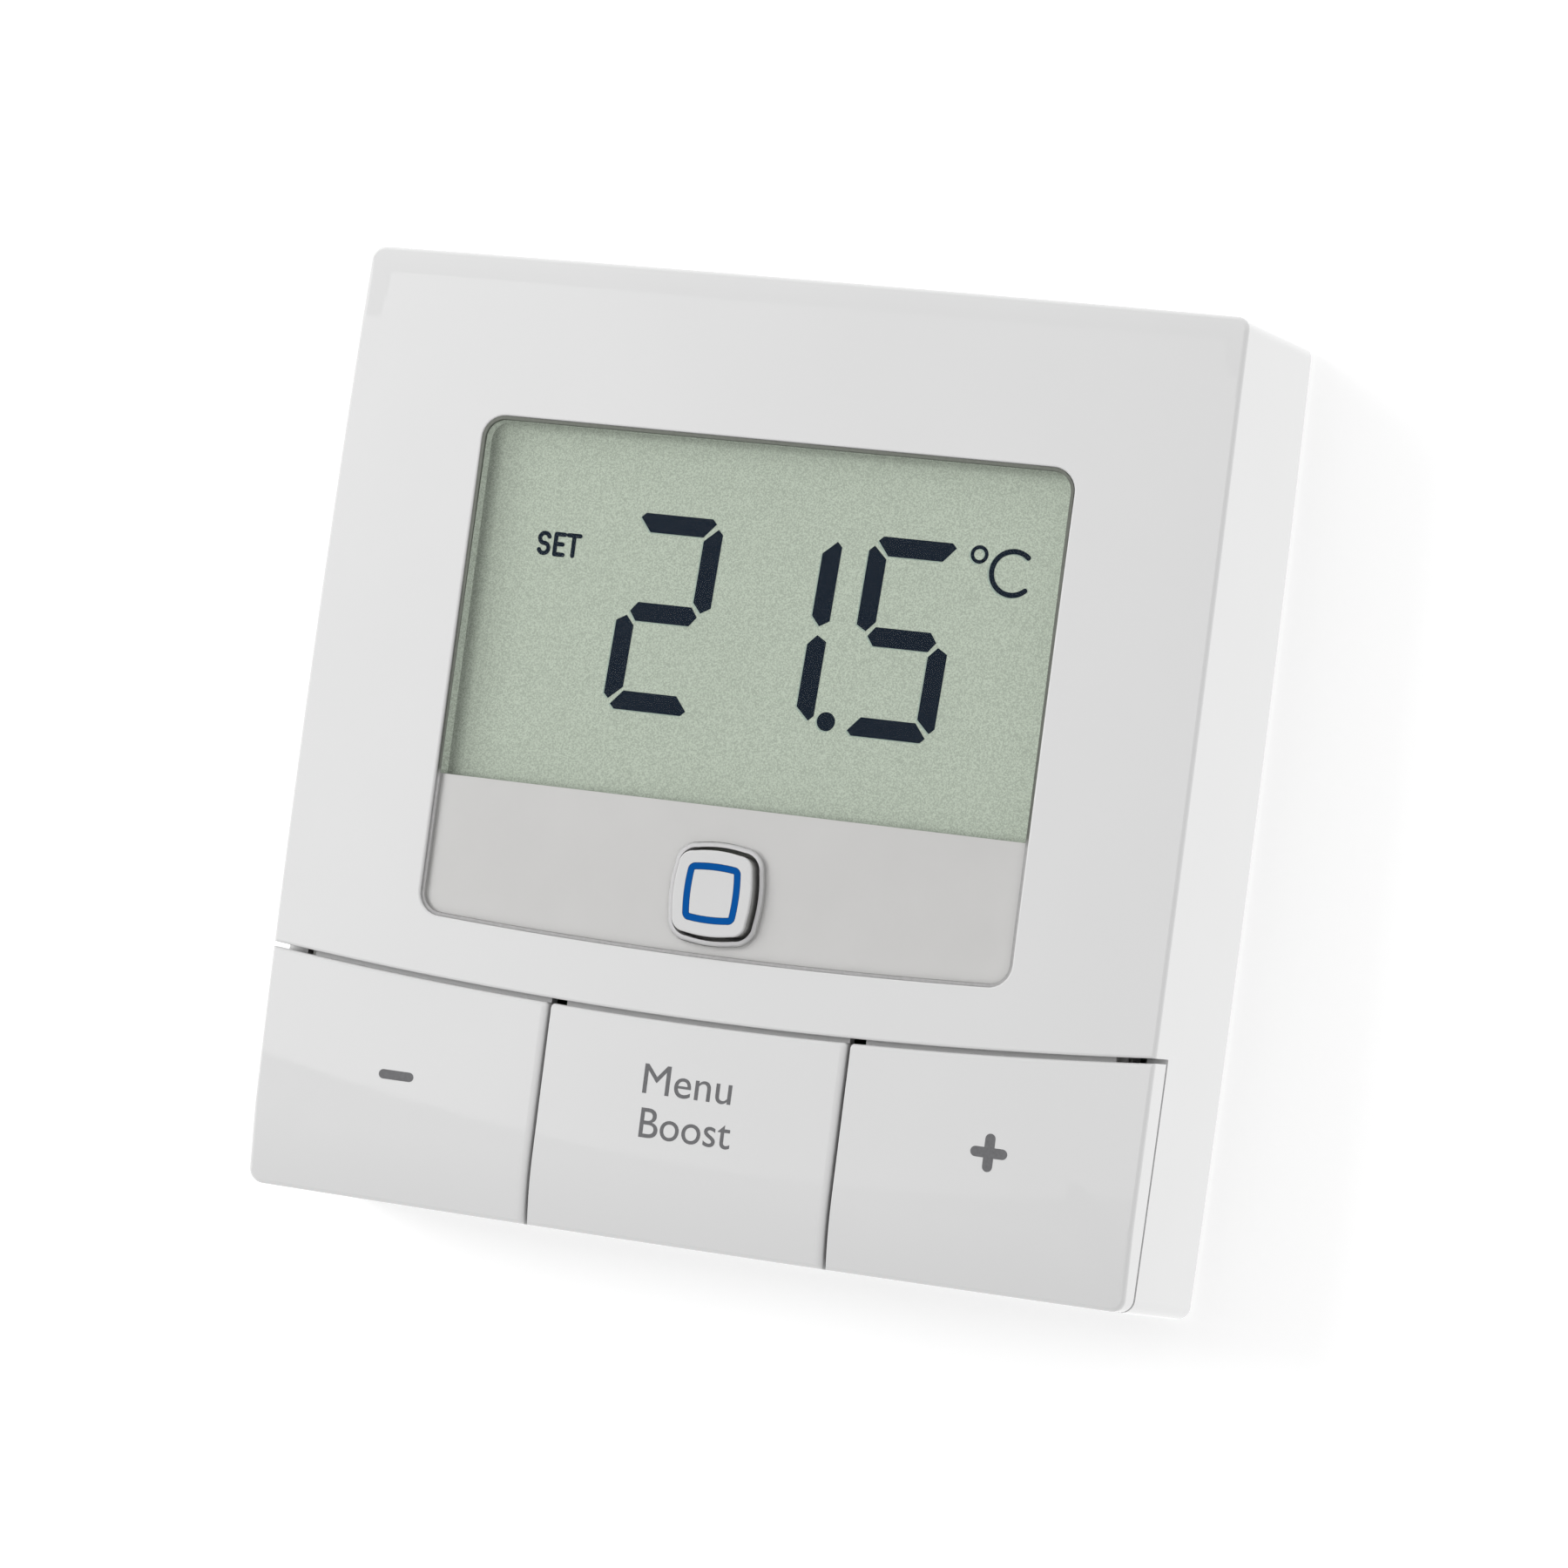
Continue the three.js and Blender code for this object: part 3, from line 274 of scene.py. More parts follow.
def sunk(outline_at, r, bottom_y):
    """Cutter with a rounded rim where it leaves the front face. outline_at(grow) gives points."""
    loops = [[(x, -DEPTH - 4, z) for x, z in outline_at(r)]]
    for inset, depth in reversed(roll(r, 5)):
        loops.append([(x, front_y(z) + depth, z) for x, z in outline_at(inset)])
    loops.append([(x, bottom_y, z) for x, z in outline_at(0.0)])
    return loft(loops)


def below_edge(x0, x1, top_drop, low_drop=None, steps=40):
    xs = [x0 + (x1 - x0) * k / steps for k in range(steps + 1)]
    top = [(x, edge_z(x, top_drop)) for x in xs]
    if low_drop is None:
        return top + [(x1, -FAR), (x0, -FAR)]
    return top + [(x, edge_z(x, low_drop)) for x in reversed(xs)]


# ---- Materials -------------------------------------------------------------------------

def linear(rgb):
    """sRGB numbers from 0 to 255 as the linear colour that shaders use."""
    out = []
    for value in rgb:
        c = value / 255
        out.append(c / 12.92 if c <= 0.04045 else ((c + 0.055) / 1.055) ** 2.4)
    return (*out, 1.0)


class Nodes:
    """A material under construction: each call adds one node and returns it."""

    def __init__(self, name):
        self.material = bpy.data.materials.new(name)
        self.material.use_nodes = True
        self.tree = self.material.node_tree
        self.tree.nodes.clear()
        self.out = self.add("ShaderNodeOutputMaterial")
        self.place = self.add("ShaderNodeTexCoord").outputs["Object"]

    def add(self, kind, **fields):
        node = self.tree.nodes.new(kind)
        for field, value in fields.items():
            setattr(node, field, value)
        return node

    def link(self, source, target):
        self.tree.links.new(source, target)

    def noise(self, scale, detail=2.0):
        node = self.add("ShaderNodeTexNoise")
        node.inputs["Scale"].default_value = scale
        node.inputs["Detail"].default_value = detail
        self.link(self.place, node.inputs["Vector"])
        return node.outputs["Fac"]

    def ramp(self, source, stops):
        node = self.add("ShaderNodeValToRGB")
        node.color_ramp.interpolation = "LINEAR"
        while len(node.color_ramp.elements) < len(stops):
            node.color_ramp.elements.new(0.5)
        for element, (at, colour) in zip(node.color_ramp.elements, stops):
            element.position = at
            element.color = colour
        self.link(source, node.inputs["Fac"])
        return node.outputs["Color"]

    def span(self, source, low, high, start=0.3, end=0.7):
        node = self.add("ShaderNodeMapRange")
        node.inputs["From Min"].default_value = start
        node.inputs["From Max"].default_value = end
        node.inputs["To Min"].default_value = low
        node.inputs["To Max"].default_value = high
        self.link(source, node.inputs["Value"])
        return node.outputs["Result"]

    def bump(self, source, height, strength):
        node = self.add("ShaderNodeBump")
        node.inputs["Strength"].default_value = strength
        node.inputs["Distance"].default_value = height
        self.link(source, node.inputs["Height"])
        return node.outputs["Normal"]

    def principled(self, **fields):
        node = self.add("ShaderNodeBsdfPrincipled")
        for field, value in fields.items():
            node.inputs[field.replace("_", " ")].default_value = value
        self.link(node.outputs[0], self.out.inputs["Surface"])
        return node


def tint(rgb, factor):
    r, g, b, _ = linear(rgb)
    return (min(r * factor, 1), min(g * factor, 1), min(b * factor, 1), 1.0)


METAL_GRAIN, METAL_DEPTH = 0.0002, 0.000002


def plastic(name, rgb, roughness, grain=0.00012, depth=0.0000006, spread=0.03, ior=1.5, cloud=0.012,
            rough_spread=0.05, strength=0.3):
    """Moulded plastic: slow cloudiness of the pigment and a fine tool texture."""
    m = Nodes(name)
    slow = m.noise(1 / cloud, 3.0)
    fine = m.noise(1 / grain, 2.0)
    shader = m.principled(IOR=ior)
    m.link(m.ramp(slow, [(0.3, tint(rgb, 1 - spread)), (0.7, tint(rgb, 1 + spread))]),
           shader.inputs["Base Color"])
    m.link(m.span(m.noise(1 / (cloud * 0.4), 2.0), roughness - rough_spread, roughness + rough_spread),
           shader.inputs["Roughness"])
    m.link(m.bump(fine, depth, strength), shader.inputs["Normal"])
    return m.material


def metal(name, rgb, roughness):
    """Bare metal with a fine uneven surface."""
    m = Nodes(name)
    shader = m.principled(Metallic=1.0)
    brush = m.noise(1 / METAL_GRAIN, 3.0)
    m.link(m.ramp(brush, [(0.25, tint(rgb, 0.82)), (0.75, tint(rgb, 1.08))]), shader.inputs["Base Color"])
    m.link(m.span(brush, roughness - 0.08, roughness + 0.1), shader.inputs["Roughness"])
    m.link(m.bump(brush, METAL_DEPTH, 0.4), shader.inputs["Normal"])
    return m.material


def ink(name, rgb, roughness=0.45, ior=1.45):
    """Pad-printed ink: slightly uneven cover with a fine rough surface."""
    m = Nodes(name)
    shader = m.principled(IOR=ior)
    spots = m.noise(1 / 0.00018, 3.0)
    m.link(m.ramp(spots, [(0.3, tint(rgb, 0.9)), (0.72, tint(rgb, 1.12))]), shader.inputs["Base Color"])
    m.link(m.span(spots, roughness - 0.06, roughness + 0.08), shader.inputs["Roughness"])
    m.link(m.bump(spots, 0.000003, 0.3), shader.inputs["Normal"])
    return m.material


def painted_shade_seal_material():
    """Seal round the window, coloured as painted shade: dark beside the display, where the rim's shadow
    falls, pale beside the printed strip.
    """
    m = Nodes("window_painted_shade_seal")
    shader = m.principled(IOR=1.3)
    axes = m.add("ShaderNodeSeparateXYZ")
    m.link(m.place, axes.inputs[0])
    # Painted shade: the dark colour stands in for the rim's shadow on the display's edge.
    dark, pale = linear((112, 115, 108)), linear((180, 179, 179))
    share = m.span(axes.outputs["Z"], 0.0, 1.0, STRIP_Z * MM - 0.0004, STRIP_Z * MM + 0.0004)
    mix = m.add("ShaderNodeMix", data_type="RGBA", blend_type="MULTIPLY")
    mix.inputs["Factor"].default_value = 1.0
    m.link(m.ramp(share, [(0.0, pale), (1.0, dark)]), mix.inputs["A"])
    fine = m.noise(1 / 0.0004, 2.0)
    m.link(m.ramp(fine, [(0.3, (0.85, 0.85, 0.85, 1)), (0.7, (1, 1, 1, 1))]), mix.inputs["B"])
    m.link(mix.outputs["Result"], shader.inputs["Base Color"])
    m.link(m.span(fine, 0.5, 0.65), shader.inputs["Roughness"])
    return m.material


# The display's glow is painted light that evens out its shading; a reflective display gives off none.
DISPLAY_PAINTED_GLOW, DISPLAY_BASE, SPARKLE_SIZE = 1.6, (117, 122.5, 114), 0.00011
# Where the frame shades the display: axis, darkest level, and the heights it fades between
FRAME_SHADES = [("X", 0.5, -0.0264, -0.0243), ("Z", 0.7, 0.0268, 0.0256), ("Z", 0.6, -0.0041, -0.0026)]


def display_material():
    """Reflective display: a pale green-grey field with fine sparkle from the foil behind, and a painted glow
    in the same colour, though the display gives no light.
    """
    m = Nodes("display_field")
    shader = m.principled(IOR=1.2, Emission_Strength=DISPLAY_PAINTED_GLOW)
    sparkle = m.noise(1 / SPARKLE_SIZE, 0.0)
    slow = m.noise(1 / 0.02, 2.0)
    mix = m.add("ShaderNodeMix", data_type="RGBA", blend_type="MULTIPLY")
    mix.inputs["Factor"].default_value = 1.0
    m.link(m.ramp(sparkle, [(0.3, tint(DISPLAY_BASE, 0.84)), (0.7, tint(DISPLAY_BASE, 1.16))]),
           mix.inputs["A"])
    m.link(m.ramp(slow, [(0.3, (0.985, 0.985, 0.985, 1)), (0.7, (1, 1, 1, 1))]), mix.inputs["B"])
    axes = m.add("ShaderNodeSeparateXYZ")
    m.link(m.place, axes.inputs[0])
    shade = mix.outputs["Result"]
    for axis, dark, near, far in FRAME_SHADES:
        step = m.add("ShaderNodeMix", data_type="RGBA", blend_type="MULTIPLY")
        step.inputs["Factor"].default_value = 1.0
        m.link(shade, step.inputs["A"])
        m.link(m.ramp(m.span(axes.outputs[axis], 0.0, 1.0, near, far),
                      [(0.0, (dark, dark, dark, 1)), (0.5, (0.97, 0.97, 0.97, 1)), (1.0, (1, 1, 1, 1))]),
               step.inputs["B"])
        shade = step.outputs["Result"]
    m.link(shade, shader.inputs["Base Color"])
    m.link(shade, shader.inputs["Emission Color"])
    m.link(m.span(sparkle, 0.5, 0.7), shader.inputs["Roughness"])
    m.link(m.bump(sparkle, 0.000003, 0.25), shader.inputs["Normal"])
    return m.material


def clear_material(name, fresnel_ior, rgb):
    """Clear moulding seen straight through, with the gloss of its two skins."""
    m = Nodes(name)
    through = m.add("ShaderNodeBsdfTransparent")
    gloss = m.add("ShaderNodeBsdfGlossy")
    fine = m.noise(1 / 0.004, 2.0)
    m.link(m.ramp(fine, [(0.3, tint(rgb, 0.995)), (0.7, tint(rgb, 1.0))]), through.inputs["Color"])
    m.link(m.span(fine, 0.03, 0.07), gloss.inputs["Roughness"])
    fresnel = m.add("ShaderNodeFresnel")
    fresnel.inputs["IOR"].default_value = fresnel_ior
    m.link(m.add("ShaderNodeNewGeometry").outputs["True Normal"], fresnel.inputs["Normal"])
    mix = m.add("ShaderNodeMixShader")
    m.link(fresnel.outputs[0], mix.inputs["Fac"])
    m.link(through.outputs[0], mix.inputs[1])
    m.link(gloss.outputs[0], mix.inputs[2])
    m.link(mix.outputs[0], m.out.inputs["Surface"])
    return m.material


def board_material():
    """Circuit board: green solder mask over faint copper tracks."""
    m = Nodes("board_mask")
    shader = m.principled(IOR=1.5)
    cells = m.add("ShaderNodeTexVoronoi", feature="DISTANCE_TO_EDGE", distance="MANHATTAN")
    cells.inputs["Scale"].default_value = 1 / 0.004
    m.link(m.place, cells.inputs["Vector"])
    edge = cells.outputs["Distance"]
    m.link(m.ramp(edge, [(0.04, linear((46, 128, 78))), (0.09, linear((24, 88, 50)))]),
           shader.inputs["Base Color"])
    m.link(m.span(edge, 0.3, 0.42, 0.03, 0.1), shader.inputs["Roughness"])
    m.link(m.bump(m.span(edge, 1.0, 0.0, 0.04, 0.09), 0.00003, 0.6), shader.inputs["Normal"])
    return m.material


def foam_material():
    """Foam tape: closed cells under a thin paper liner."""
    m = Nodes("foam_tape")
    shader = m.principled(IOR=1.3)
    cells = m.add("ShaderNodeTexVoronoi", feature="F1")
    cells.inputs["Scale"].default_value = 1 / 0.0005
    m.link(m.place, cells.inputs["Vector"])
    m.link(m.ramp(cells.outputs["Distance"],
                  [(0.0, linear((214, 209, 196))), (0.6, linear((240, 236, 226)))]),
           shader.inputs["Base Color"])
    m.link(m.span(cells.outputs["Distance"], 0.75, 0.9, 0.0, 0.6), shader.inputs["Roughness"])
    m.link(m.bump(cells.outputs["Distance"], 0.00005, 0.5), shader.inputs["Normal"])
    return m.material


def striped_rubber():
    """Contact strip: thin dark and light layers side by side along its length."""
    m = Nodes("contact_layers")
    shader = m.principled(IOR=1.4)
    wave = m.add("ShaderNodeTexWave", wave_type="BANDS", bands_direction="X")
    wave.inputs["Scale"].default_value = 1 / 0.0016
    wave.inputs["Distortion"].default_value = 0.2
    m.link(m.place, wave.inputs["Vector"])
    m.link(m.ramp(wave.outputs["Fac"], [(0.4, linear((70, 66, 66))), (0.6, linear((196, 150, 140)))]),
           shader.inputs["Base Color"])
    m.link(m.span(wave.outputs["Fac"], 0.6, 0.75), shader.inputs["Roughness"])
    return m.material


def cell_material():
    """Plain battery sleeve: printed film with a darker band at the positive end."""
    m = Nodes("cell_film")
    shader = m.principled(IOR=1.5)
    split = m.add("ShaderNodeSeparateXYZ")
    m.link(m.place, split.inputs[0])
    slow = m.noise(1 / 0.006, 2.0)
    mix = m.add("ShaderNodeMix", data_type="RGBA", blend_type="MULTIPLY")
    mix.inputs["Factor"].default_value = 1.0
    m.link(m.ramp(m.span(split.outputs["X"], 0.0, 1.0, -0.022, 0.022),
                  [(0.0, linear((60, 64, 70))), (0.24, linear((60, 64, 70))), (0.25, linear((52, 120, 168))),
                   (1.0, linear((52, 120, 168)))]), mix.inputs["A"])
    m.link(m.ramp(slow, [(0.3, (0.92, 0.92, 0.92, 1)), (0.7, (1, 1, 1, 1))]), mix.inputs["B"])
    m.link(mix.outputs["Result"], shader.inputs["Base Color"])
    m.link(m.span(slow, 0.25, 0.38), shader.inputs["Roughness"])
    return m.material


COVER_WHITE = (211, 211, 211)
FINISH = {
    "white": plastic("housing_white", COVER_WHITE, 0.02, rough_spread=0.006, spread=0.006, strength=0.05),
    "surround": plastic("surround_white", (207, 206, 207), 0.4, 0.0002, 0.000001, 0.012),
    "skirt": plastic("skirt_grey", (158, 158, 156), 0.6, 0.00012, 0.000003, 0.12),
    "button": plastic("button_white", (203, 203, 203), 0.3, rough_spread=0.03, spread=0.012, ior=1.4),
    "painted_shade_seal": painted_shade_seal_material(),
    "inner": plastic("inner_white", (196, 197, 195), 0.5, 0.0003, 0.000006, 0.03),
    "case": plastic("case_white", (206, 207, 207), 0.42, 0.00025, 0.000006, 0.025),
    "strip": plastic("strip_ink", (210, 206, 208), 0.5, 0.0002, 0.000001, 0.012, ior=1.3),
    "display": display_material(),
    "foil": metal("reflector_foil", (176, 182, 176), 0.35),
    "clear": clear_material("window_clear", 1.12, (254, 255, 254)),
    "led": clear_material("led_clear", 1.4, (235, 240, 245)),
    "chip": plastic("chip_epoxy", (30, 30, 33), 0.55, 0.00012, 0.000006, 0.12),
    "plunger": plastic("plunger_acetal", (205, 203, 196), 0.4, 0.0003, 0.000003, 0.03),
    "blue": plastic("ring_blue", (0, 78, 150), 0.5, 0.0002, 0.000001, 0.05, ior=1.15),
    "board": board_material(),
    "steel": metal("nickelled_steel", (186, 189, 194), 0.28),
    "screw": metal("zinc_steel", (150, 153, 158), 0.34),
    "foam": foam_material(),
    "rubber": striped_rubber(),
    "cap": plastic("capacitor_film", (38, 44, 74), 0.35, 0.0003, 0.000002, 0.1),
    "wire": plastic("antenna_enamel", (150, 84, 44), 0.35, 0.0003, 0.000002, 0.08),
    "cell": cell_material(),
    "segment": ink("segment_dark", (29, 37, 49), 0.75, 1.02),
    "segment_shade": ink("segment_shade", (166, 180, 172), 0.7, 1.08),
    "legend": ink("legend_grey", (101, 101, 103)),
}


# ---- Finished pieces -------------------------------------------------------------------

SHARP_ANGLE = 32.0            # edges sharper than this many degrees stay hard
ON_FRONT_TOLERANCE = 0.03


def finish_piece(obj, name, material, body, replaces=(), front=True, offset=0.0):
    """Scales a work solid to metres, gives it soft shading, and hands it to its body.

    Faces that lie on the crowned front, set back by offset, get the front's own normals.
    """
    mesh = obj.data
    mesh.transform(Matrix.Scale(MM, 4))
    mesh.update()
    mesh.polygons.foreach_set("use_smooth", [True] * len(mesh.polygons))
    mesh.set_sharp_from_angle(angle=math.radians(SHARP_ANGLE))
    weight = obj.modifiers.new("weight", "WEIGHTED_NORMAL")
    weight.mode = "FACE_AREA_WITH_ANGLE"
    weight.keep_sharp = True
    fresh = bpy.data.meshes.new_from_object(
        obj.evaluated_get(bpy.context.evaluated_depsgraph_get()))
    obj.modifiers.clear()
    obj.data = fresh
    bpy.data.meshes.remove(mesh)
    mesh = fresh
    if front:
        normals = [Vector(n.vector) for n in mesh.corner_normals]
        for face in mesh.polygons:
            if face.normal.y > -0.8:
                continue
            spots = [mesh.vertices[mesh.loops[i].vertex_index].co / MM for i in face.loop_indices]
            if all(abs(p.y - front_y(p.z) - offset) < ON_FRONT_TOLERANCE for p in spots) and all(
                    face.normal.dot(front_normal(p.z)) > 0.99 for p in spots):
                for i, p in zip(face.loop_indices, spots):
                    normals[i] = front_normal(p.z)
        mesh.normals_split_custom_set([tuple(n) for n in normals])
    mesh.materials.clear()
    mesh.materials.append(material)
    obj.name = mesh.name = name
    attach(obj, body)
    if replaces:
        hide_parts(*replaces)
    return obj


def key_collar():
    drop = EDGE_GAP + KEY_WALL + COLLAR_GAP
    zone = prism(below_edge(-HALF_W - 1, HALF_W + 1, drop), COLLAR_FRONT_Y, COLLAR_BACK_Y)
    collar = common(housing_block(KEY_WALL + COLLAR_GAP, 0, RIM_BACK, 0.4), zone)
    reach = KEY_HALF_GAP + KEY_WALL + COLLAR_GAP
    breaks = [block(x - reach, x + reach, -DEPTH, KEY_STOP_Y, -HALF_H, 0)
              for x in (-KEY_SPLIT_X, KEY_SPLIT_X)]
    collar = cut(collar, housing_block(KEY_WALL + COLLAR_GAP + COLLAR_T, 0.5, RIM_BACK + 1, 0.4), *breaks)
    root_zone = prism(below_edge(-HALF_W - 1, HALF_W + 1, drop), KEY_STOP_Y, COLLAR_BACK_Y)
    root = common(housing_block(SHELL - 0.5, 0, RIM_BACK, 0.4), root_zone)
    root = cut(root, housing_block(KEY_WALL + COLLAR_GAP + COLLAR_T, 0.4, RIM_BACK + 1.5, 0.4))
    return join(collar, root)


def front_cover():
    cover = housing_block(0, 0, RIM_BACK, EDGE_ROUND)
    cover = cut(
        cover,
        housing_block(SHELL, FRONT_WALL, RIM_BACK + 1, 0.6),
        sunk(window_outline, RIM_ROUND, LENS_SEAT_Y + 1),
        prism(window_outline(LENS_FLANGE + GAP), LENS_SEAT_Y, LENS_BACK_Y + 2),
        sunk(lambda grow: below_edge(-FAR, FAR, -grow), ARC_ROUND, KEY_STOP_Y),
        prism(below_edge(-LEDGE_SLOT_HALF_W, LEDGE_SLOT_HALF_W, -LEDGE_RISE - GAP, 1), LEDGE_Y - GAP,
              KEY_STOP_Y + 0.01),
    )
    bosses, boss_back = [], CASE_BACK_Y - CASE_PANEL - GAP
    for side in (-1, 1):
        bosses.append(rod_y(BOSS_R, BOSS_TOP_FRONT_Y, boss_back, side * BOSS_X, BOSS_Z))
        bosses.append(rod_y(BOSS_R, BOSS_LOW_FRONT_Y, boss_back, side * BOSS_X, -BOSS_Z))
    inside = join(*bosses)
    inside = common(inside, housing_block(SHELL - 0.4, 1, RIM_BACK, 0.4))
    cover = join(cover, key_collar(), inside)
    bores = [rod_y(SCREW_R + GAP, BORE_FRONT_Y, 0, sx * BOSS_X, sz * BOSS_Z)
             for sx in (-1, 1) for sz in (-1, 1)]
    vents = [block(VENT_X + n * VENT_STEP - VENT_HALF_W, VENT_X + n * VENT_STEP + VENT_HALF_W,
                   VENT_FRONT_Y, VENT_BACK_Y, -HALF_H - 1, -HALF_H + SHELL + VENT_REACH)
             for n in range(-2, 3)]
    return cut(cover, *bores, *vents)


def key_outline(x0, x1, corner=0.3, steps=30):
    """Front outline of a key as a function of how far its edges draw in."""
    def at(inset):
        a, b = x0 + inset * KEY_CRISP / KEY_ROUND, x1 - inset * KEY_SOFT / KEY_ROUND
        turn = [0.5 * math.pi * k / 5 for k in range(6)]
        left_z = edge_z(x0, EDGE_GAP) - inset
        right_z = edge_z(x1, EDGE_GAP) - inset
        points = [(a + corner * (1 - math.cos(t)), left_z - corner * (1 - math.sin(t))) for t in turn]
        for k in range(1, steps):
            x = a + corner + (b - a - 2 * corner) * k / steps
            points.append((x, edge_z(x, EDGE_GAP) - inset))
        points += [(b - corner * (1 - math.cos(t)), right_z - corner * (1 - math.sin(t)))
                   for t in reversed(turn)]
        low = [(b, right_z + (-FAR - right_z) * k / 20) for k in range(1, 21)]
        up = [(a, -FAR + (left_z - corner + FAR) * k / 20) for k in range(0, 20)]
        return points + low + up
    return at


def key(x0, x1, left, right):
    at = key_outline(-FAR if left else x0, FAR if right else x1)
    loops = [[(x, -DEPTH - 4, z) for x, z in at(KEY_ROUND)]]
    for inset, depth in reversed(roll(KEY_ROUND, 6)):
        loops.append([(x, front_y(z) + depth, z) for x, z in at(inset)])
    loops.append([(x, KEY_BACK_Y + 3, z) for x, z in at(0.0)])
    whole = common(housing_block(0, 0, KEY_BACK_Y, EDGE_ROUND), loft(loops))
    hollow = common(
        housing_block(KEY_WALL, KEY_WALL, KEY_BACK_Y + 1, 0.4),
        prism(below_edge(-FAR if left else x0 + KEY_WALL, FAR if right else x1 - KEY_WALL,
                         EDGE_GAP + KEY_WALL), -DEPTH - 1, KEY_BACK_Y + 2),
    )
    shell = cut(whole, hollow)
    ledge_x0 = x0 + LEDGE_LEFT + (LEDGE_CORNER_LEFT if left else 0)
    ledge_x1 = x1 - LEDGE_RIGHT - (LEDGE_CORNER_RIGHT if right else 0)
    ledge = prism(below_edge(ledge_x0, ledge_x1, EDGE_GAP - LEDGE_RISE, EDGE_GAP + 1), LEDGE_Y,
                  LEDGE_Y + LEDGE_T)
    web_x0 = (-OUTER_LUG_X if left else x0 - KEY_HALF_GAP) + LUG_HALF_W + GAP
    web_x1 = (OUTER_LUG_X if right else x1 + KEY_HALF_GAP) - LUG_HALF_W - GAP
    web = block(web_x0, web_x1, LEDGE_Y + LEDGE_T - WEB_OVERLAP, PIVOT_Y, PIVOT_Z - WEB_LOW,
                PIVOT_Z - WEB_TOP)
    thick = rod_x(PIVOT_BAR_R, web_x0, web_x1, PIVOT_Y, PIVOT_Z)
    shell = join(shell, ledge, web, thick)
    rooms = [block(x - LUG_HALF_W - GAP, x + LUG_HALF_W + GAP, PIVOT_Y - LUG_ROOM_Y, 0,
                   PIVOT_Z - LUG_ROOM_Z, 0)
             for x in (-OUTER_LUG_X, -KEY_SPLIT_X, KEY_SPLIT_X, OUTER_LUG_X)]
    shell = cut(shell, *rooms)
    pin = rod_x(PIVOT_PIN_R, web_x0 - PIN_REACH, web_x1 + PIN_REACH, PIVOT_Y, PIVOT_Z)
    return join(shell, pin)


LENS_INSETS, LENS_FADE = (1, 3, 6, 10, 15, 20.5), 21


def lens():
    def pane_outline(grow):
        return window_outline(-GAP + grow)

    loops = [[(x, LENS_BACK_Y, z) for x, z in pane_outline(0)]]
    for inset, depth in roll(LENS_ROUND, 4):
        loops.append([(x, front_y(z) + LENS_SET_BACK + depth, z) for x, z in pane_outline(-inset)])
    middle = (WIN_TOP + WIN_LOW) / 2
    for inset in LENS_INSETS:
        shape = rounded(WIN_HALF_W - GAP - inset, (WIN_TOP - WIN_LOW) / 2 - GAP - inset, 0.8, 0, middle,
                        0, 0, 8, 20, WIN_SAG * (1 - inset / LENS_FADE))
        loops.append([(x, front_y(z) + LENS_SET_BACK, z) for x, z in shape])
    pane = loft(loops)
    flange = prism(window_outline(LENS_FLANGE), LENS_SEAT_Y + 0.1, LENS_BACK_Y)
    pocket = prism(window_outline(-GAP + FILM_RIM), FILM_Y, LENS_BACK_Y + 1)
    pocket = common(pocket, block(-FAR, FAR, -DEPTH, 0, -FAR, STRIP_Z))
    piece = cut(join(pane, flange), pocket)
    return cut(piece, prism(button_outline(HOLE_GROW), -DEPTH - 3, -10))


SEAL_FRONT_Y, SEAL_FIT = -21.62, 0.02


# The seal's dark colour beside the display is painted shade.
def painted_shade_seal():
    outer = prism(window_outline(-SEAL_FIT), SEAL_FRONT_Y, LENS_SEAT_Y + 0.05)
    return cut(outer, prism(window_outline(-GAP + SEAL_FIT), -DEPTH, LENS_SEAT_Y + 1))


def strip_film():
    """Printed film below the display, set in at the depth where the window shows it."""
    film = common(prism(window_outline(-GAP), FILM_Y + FILM_GAP, FILM_Y + FILM_T),
                  block(-FAR, FAR, -DEPTH, 0, -FAR, STRIP_Z - FILM_GAP))
    return cut(film, prism(button_outline(HOLE_GROW), -DEPTH, 0))


def button_surround():
    """Pale collar that stands round the button in the window's hole."""
    loops = [[(x, LENS_BACK_Y - 0.02, z) for x, z in button_outline(SURROUND_OUT)]]
    for inset, depth in roll(SURROUND_ROUND, 5):
        loops.append([(x, SURROUND_Y + depth, z) for x, z in button_outline(SURROUND_OUT - inset)])
    return cut(loft(loops), prism(button_outline(SURROUND_IN), -DEPTH - 1, LENS_BACK_Y + 1))


CAP_ROUND, CAP_T = 0.15, 0.3
RING_T, GROOVE_T, GROOVE_FIT = 0.28, 0.3, 0.03
SKIRT_INSET, SKIRT_HOLLOW_Y, SKIRT_FLANGE_T = 0.06, -20.8, 0.6
RIB_HALF_W, RIB_FRONT_Y, RIB_LOW, RIB_TOP = 1.2, -21, 2.4, 0.6


def button_cap():
    """The button's pale face, with the groove that the ring lies in."""
    loops = [[(x, BUTTON_FACE_Y + CAP_T, z) for x, z in button_outline(0)]]
    for inset, depth in roll(CAP_ROUND, 6):
        loops.append([(x, BUTTON_FACE_Y + depth, z) for x, z in button_outline(-inset)])
    cap = loft(loops)
    outer = prism(ring_outline(GROOVE_FIT), BUTTON_FACE_Y - 1, BUTTON_FACE_Y + GROOVE_T)
    inner = prism(ring_outline(-RING_STROKE - GROOVE_FIT), BUTTON_FACE_Y - 2, BUTTON_FACE_Y + 1)
    return cut(cap, cut(outer, inner))


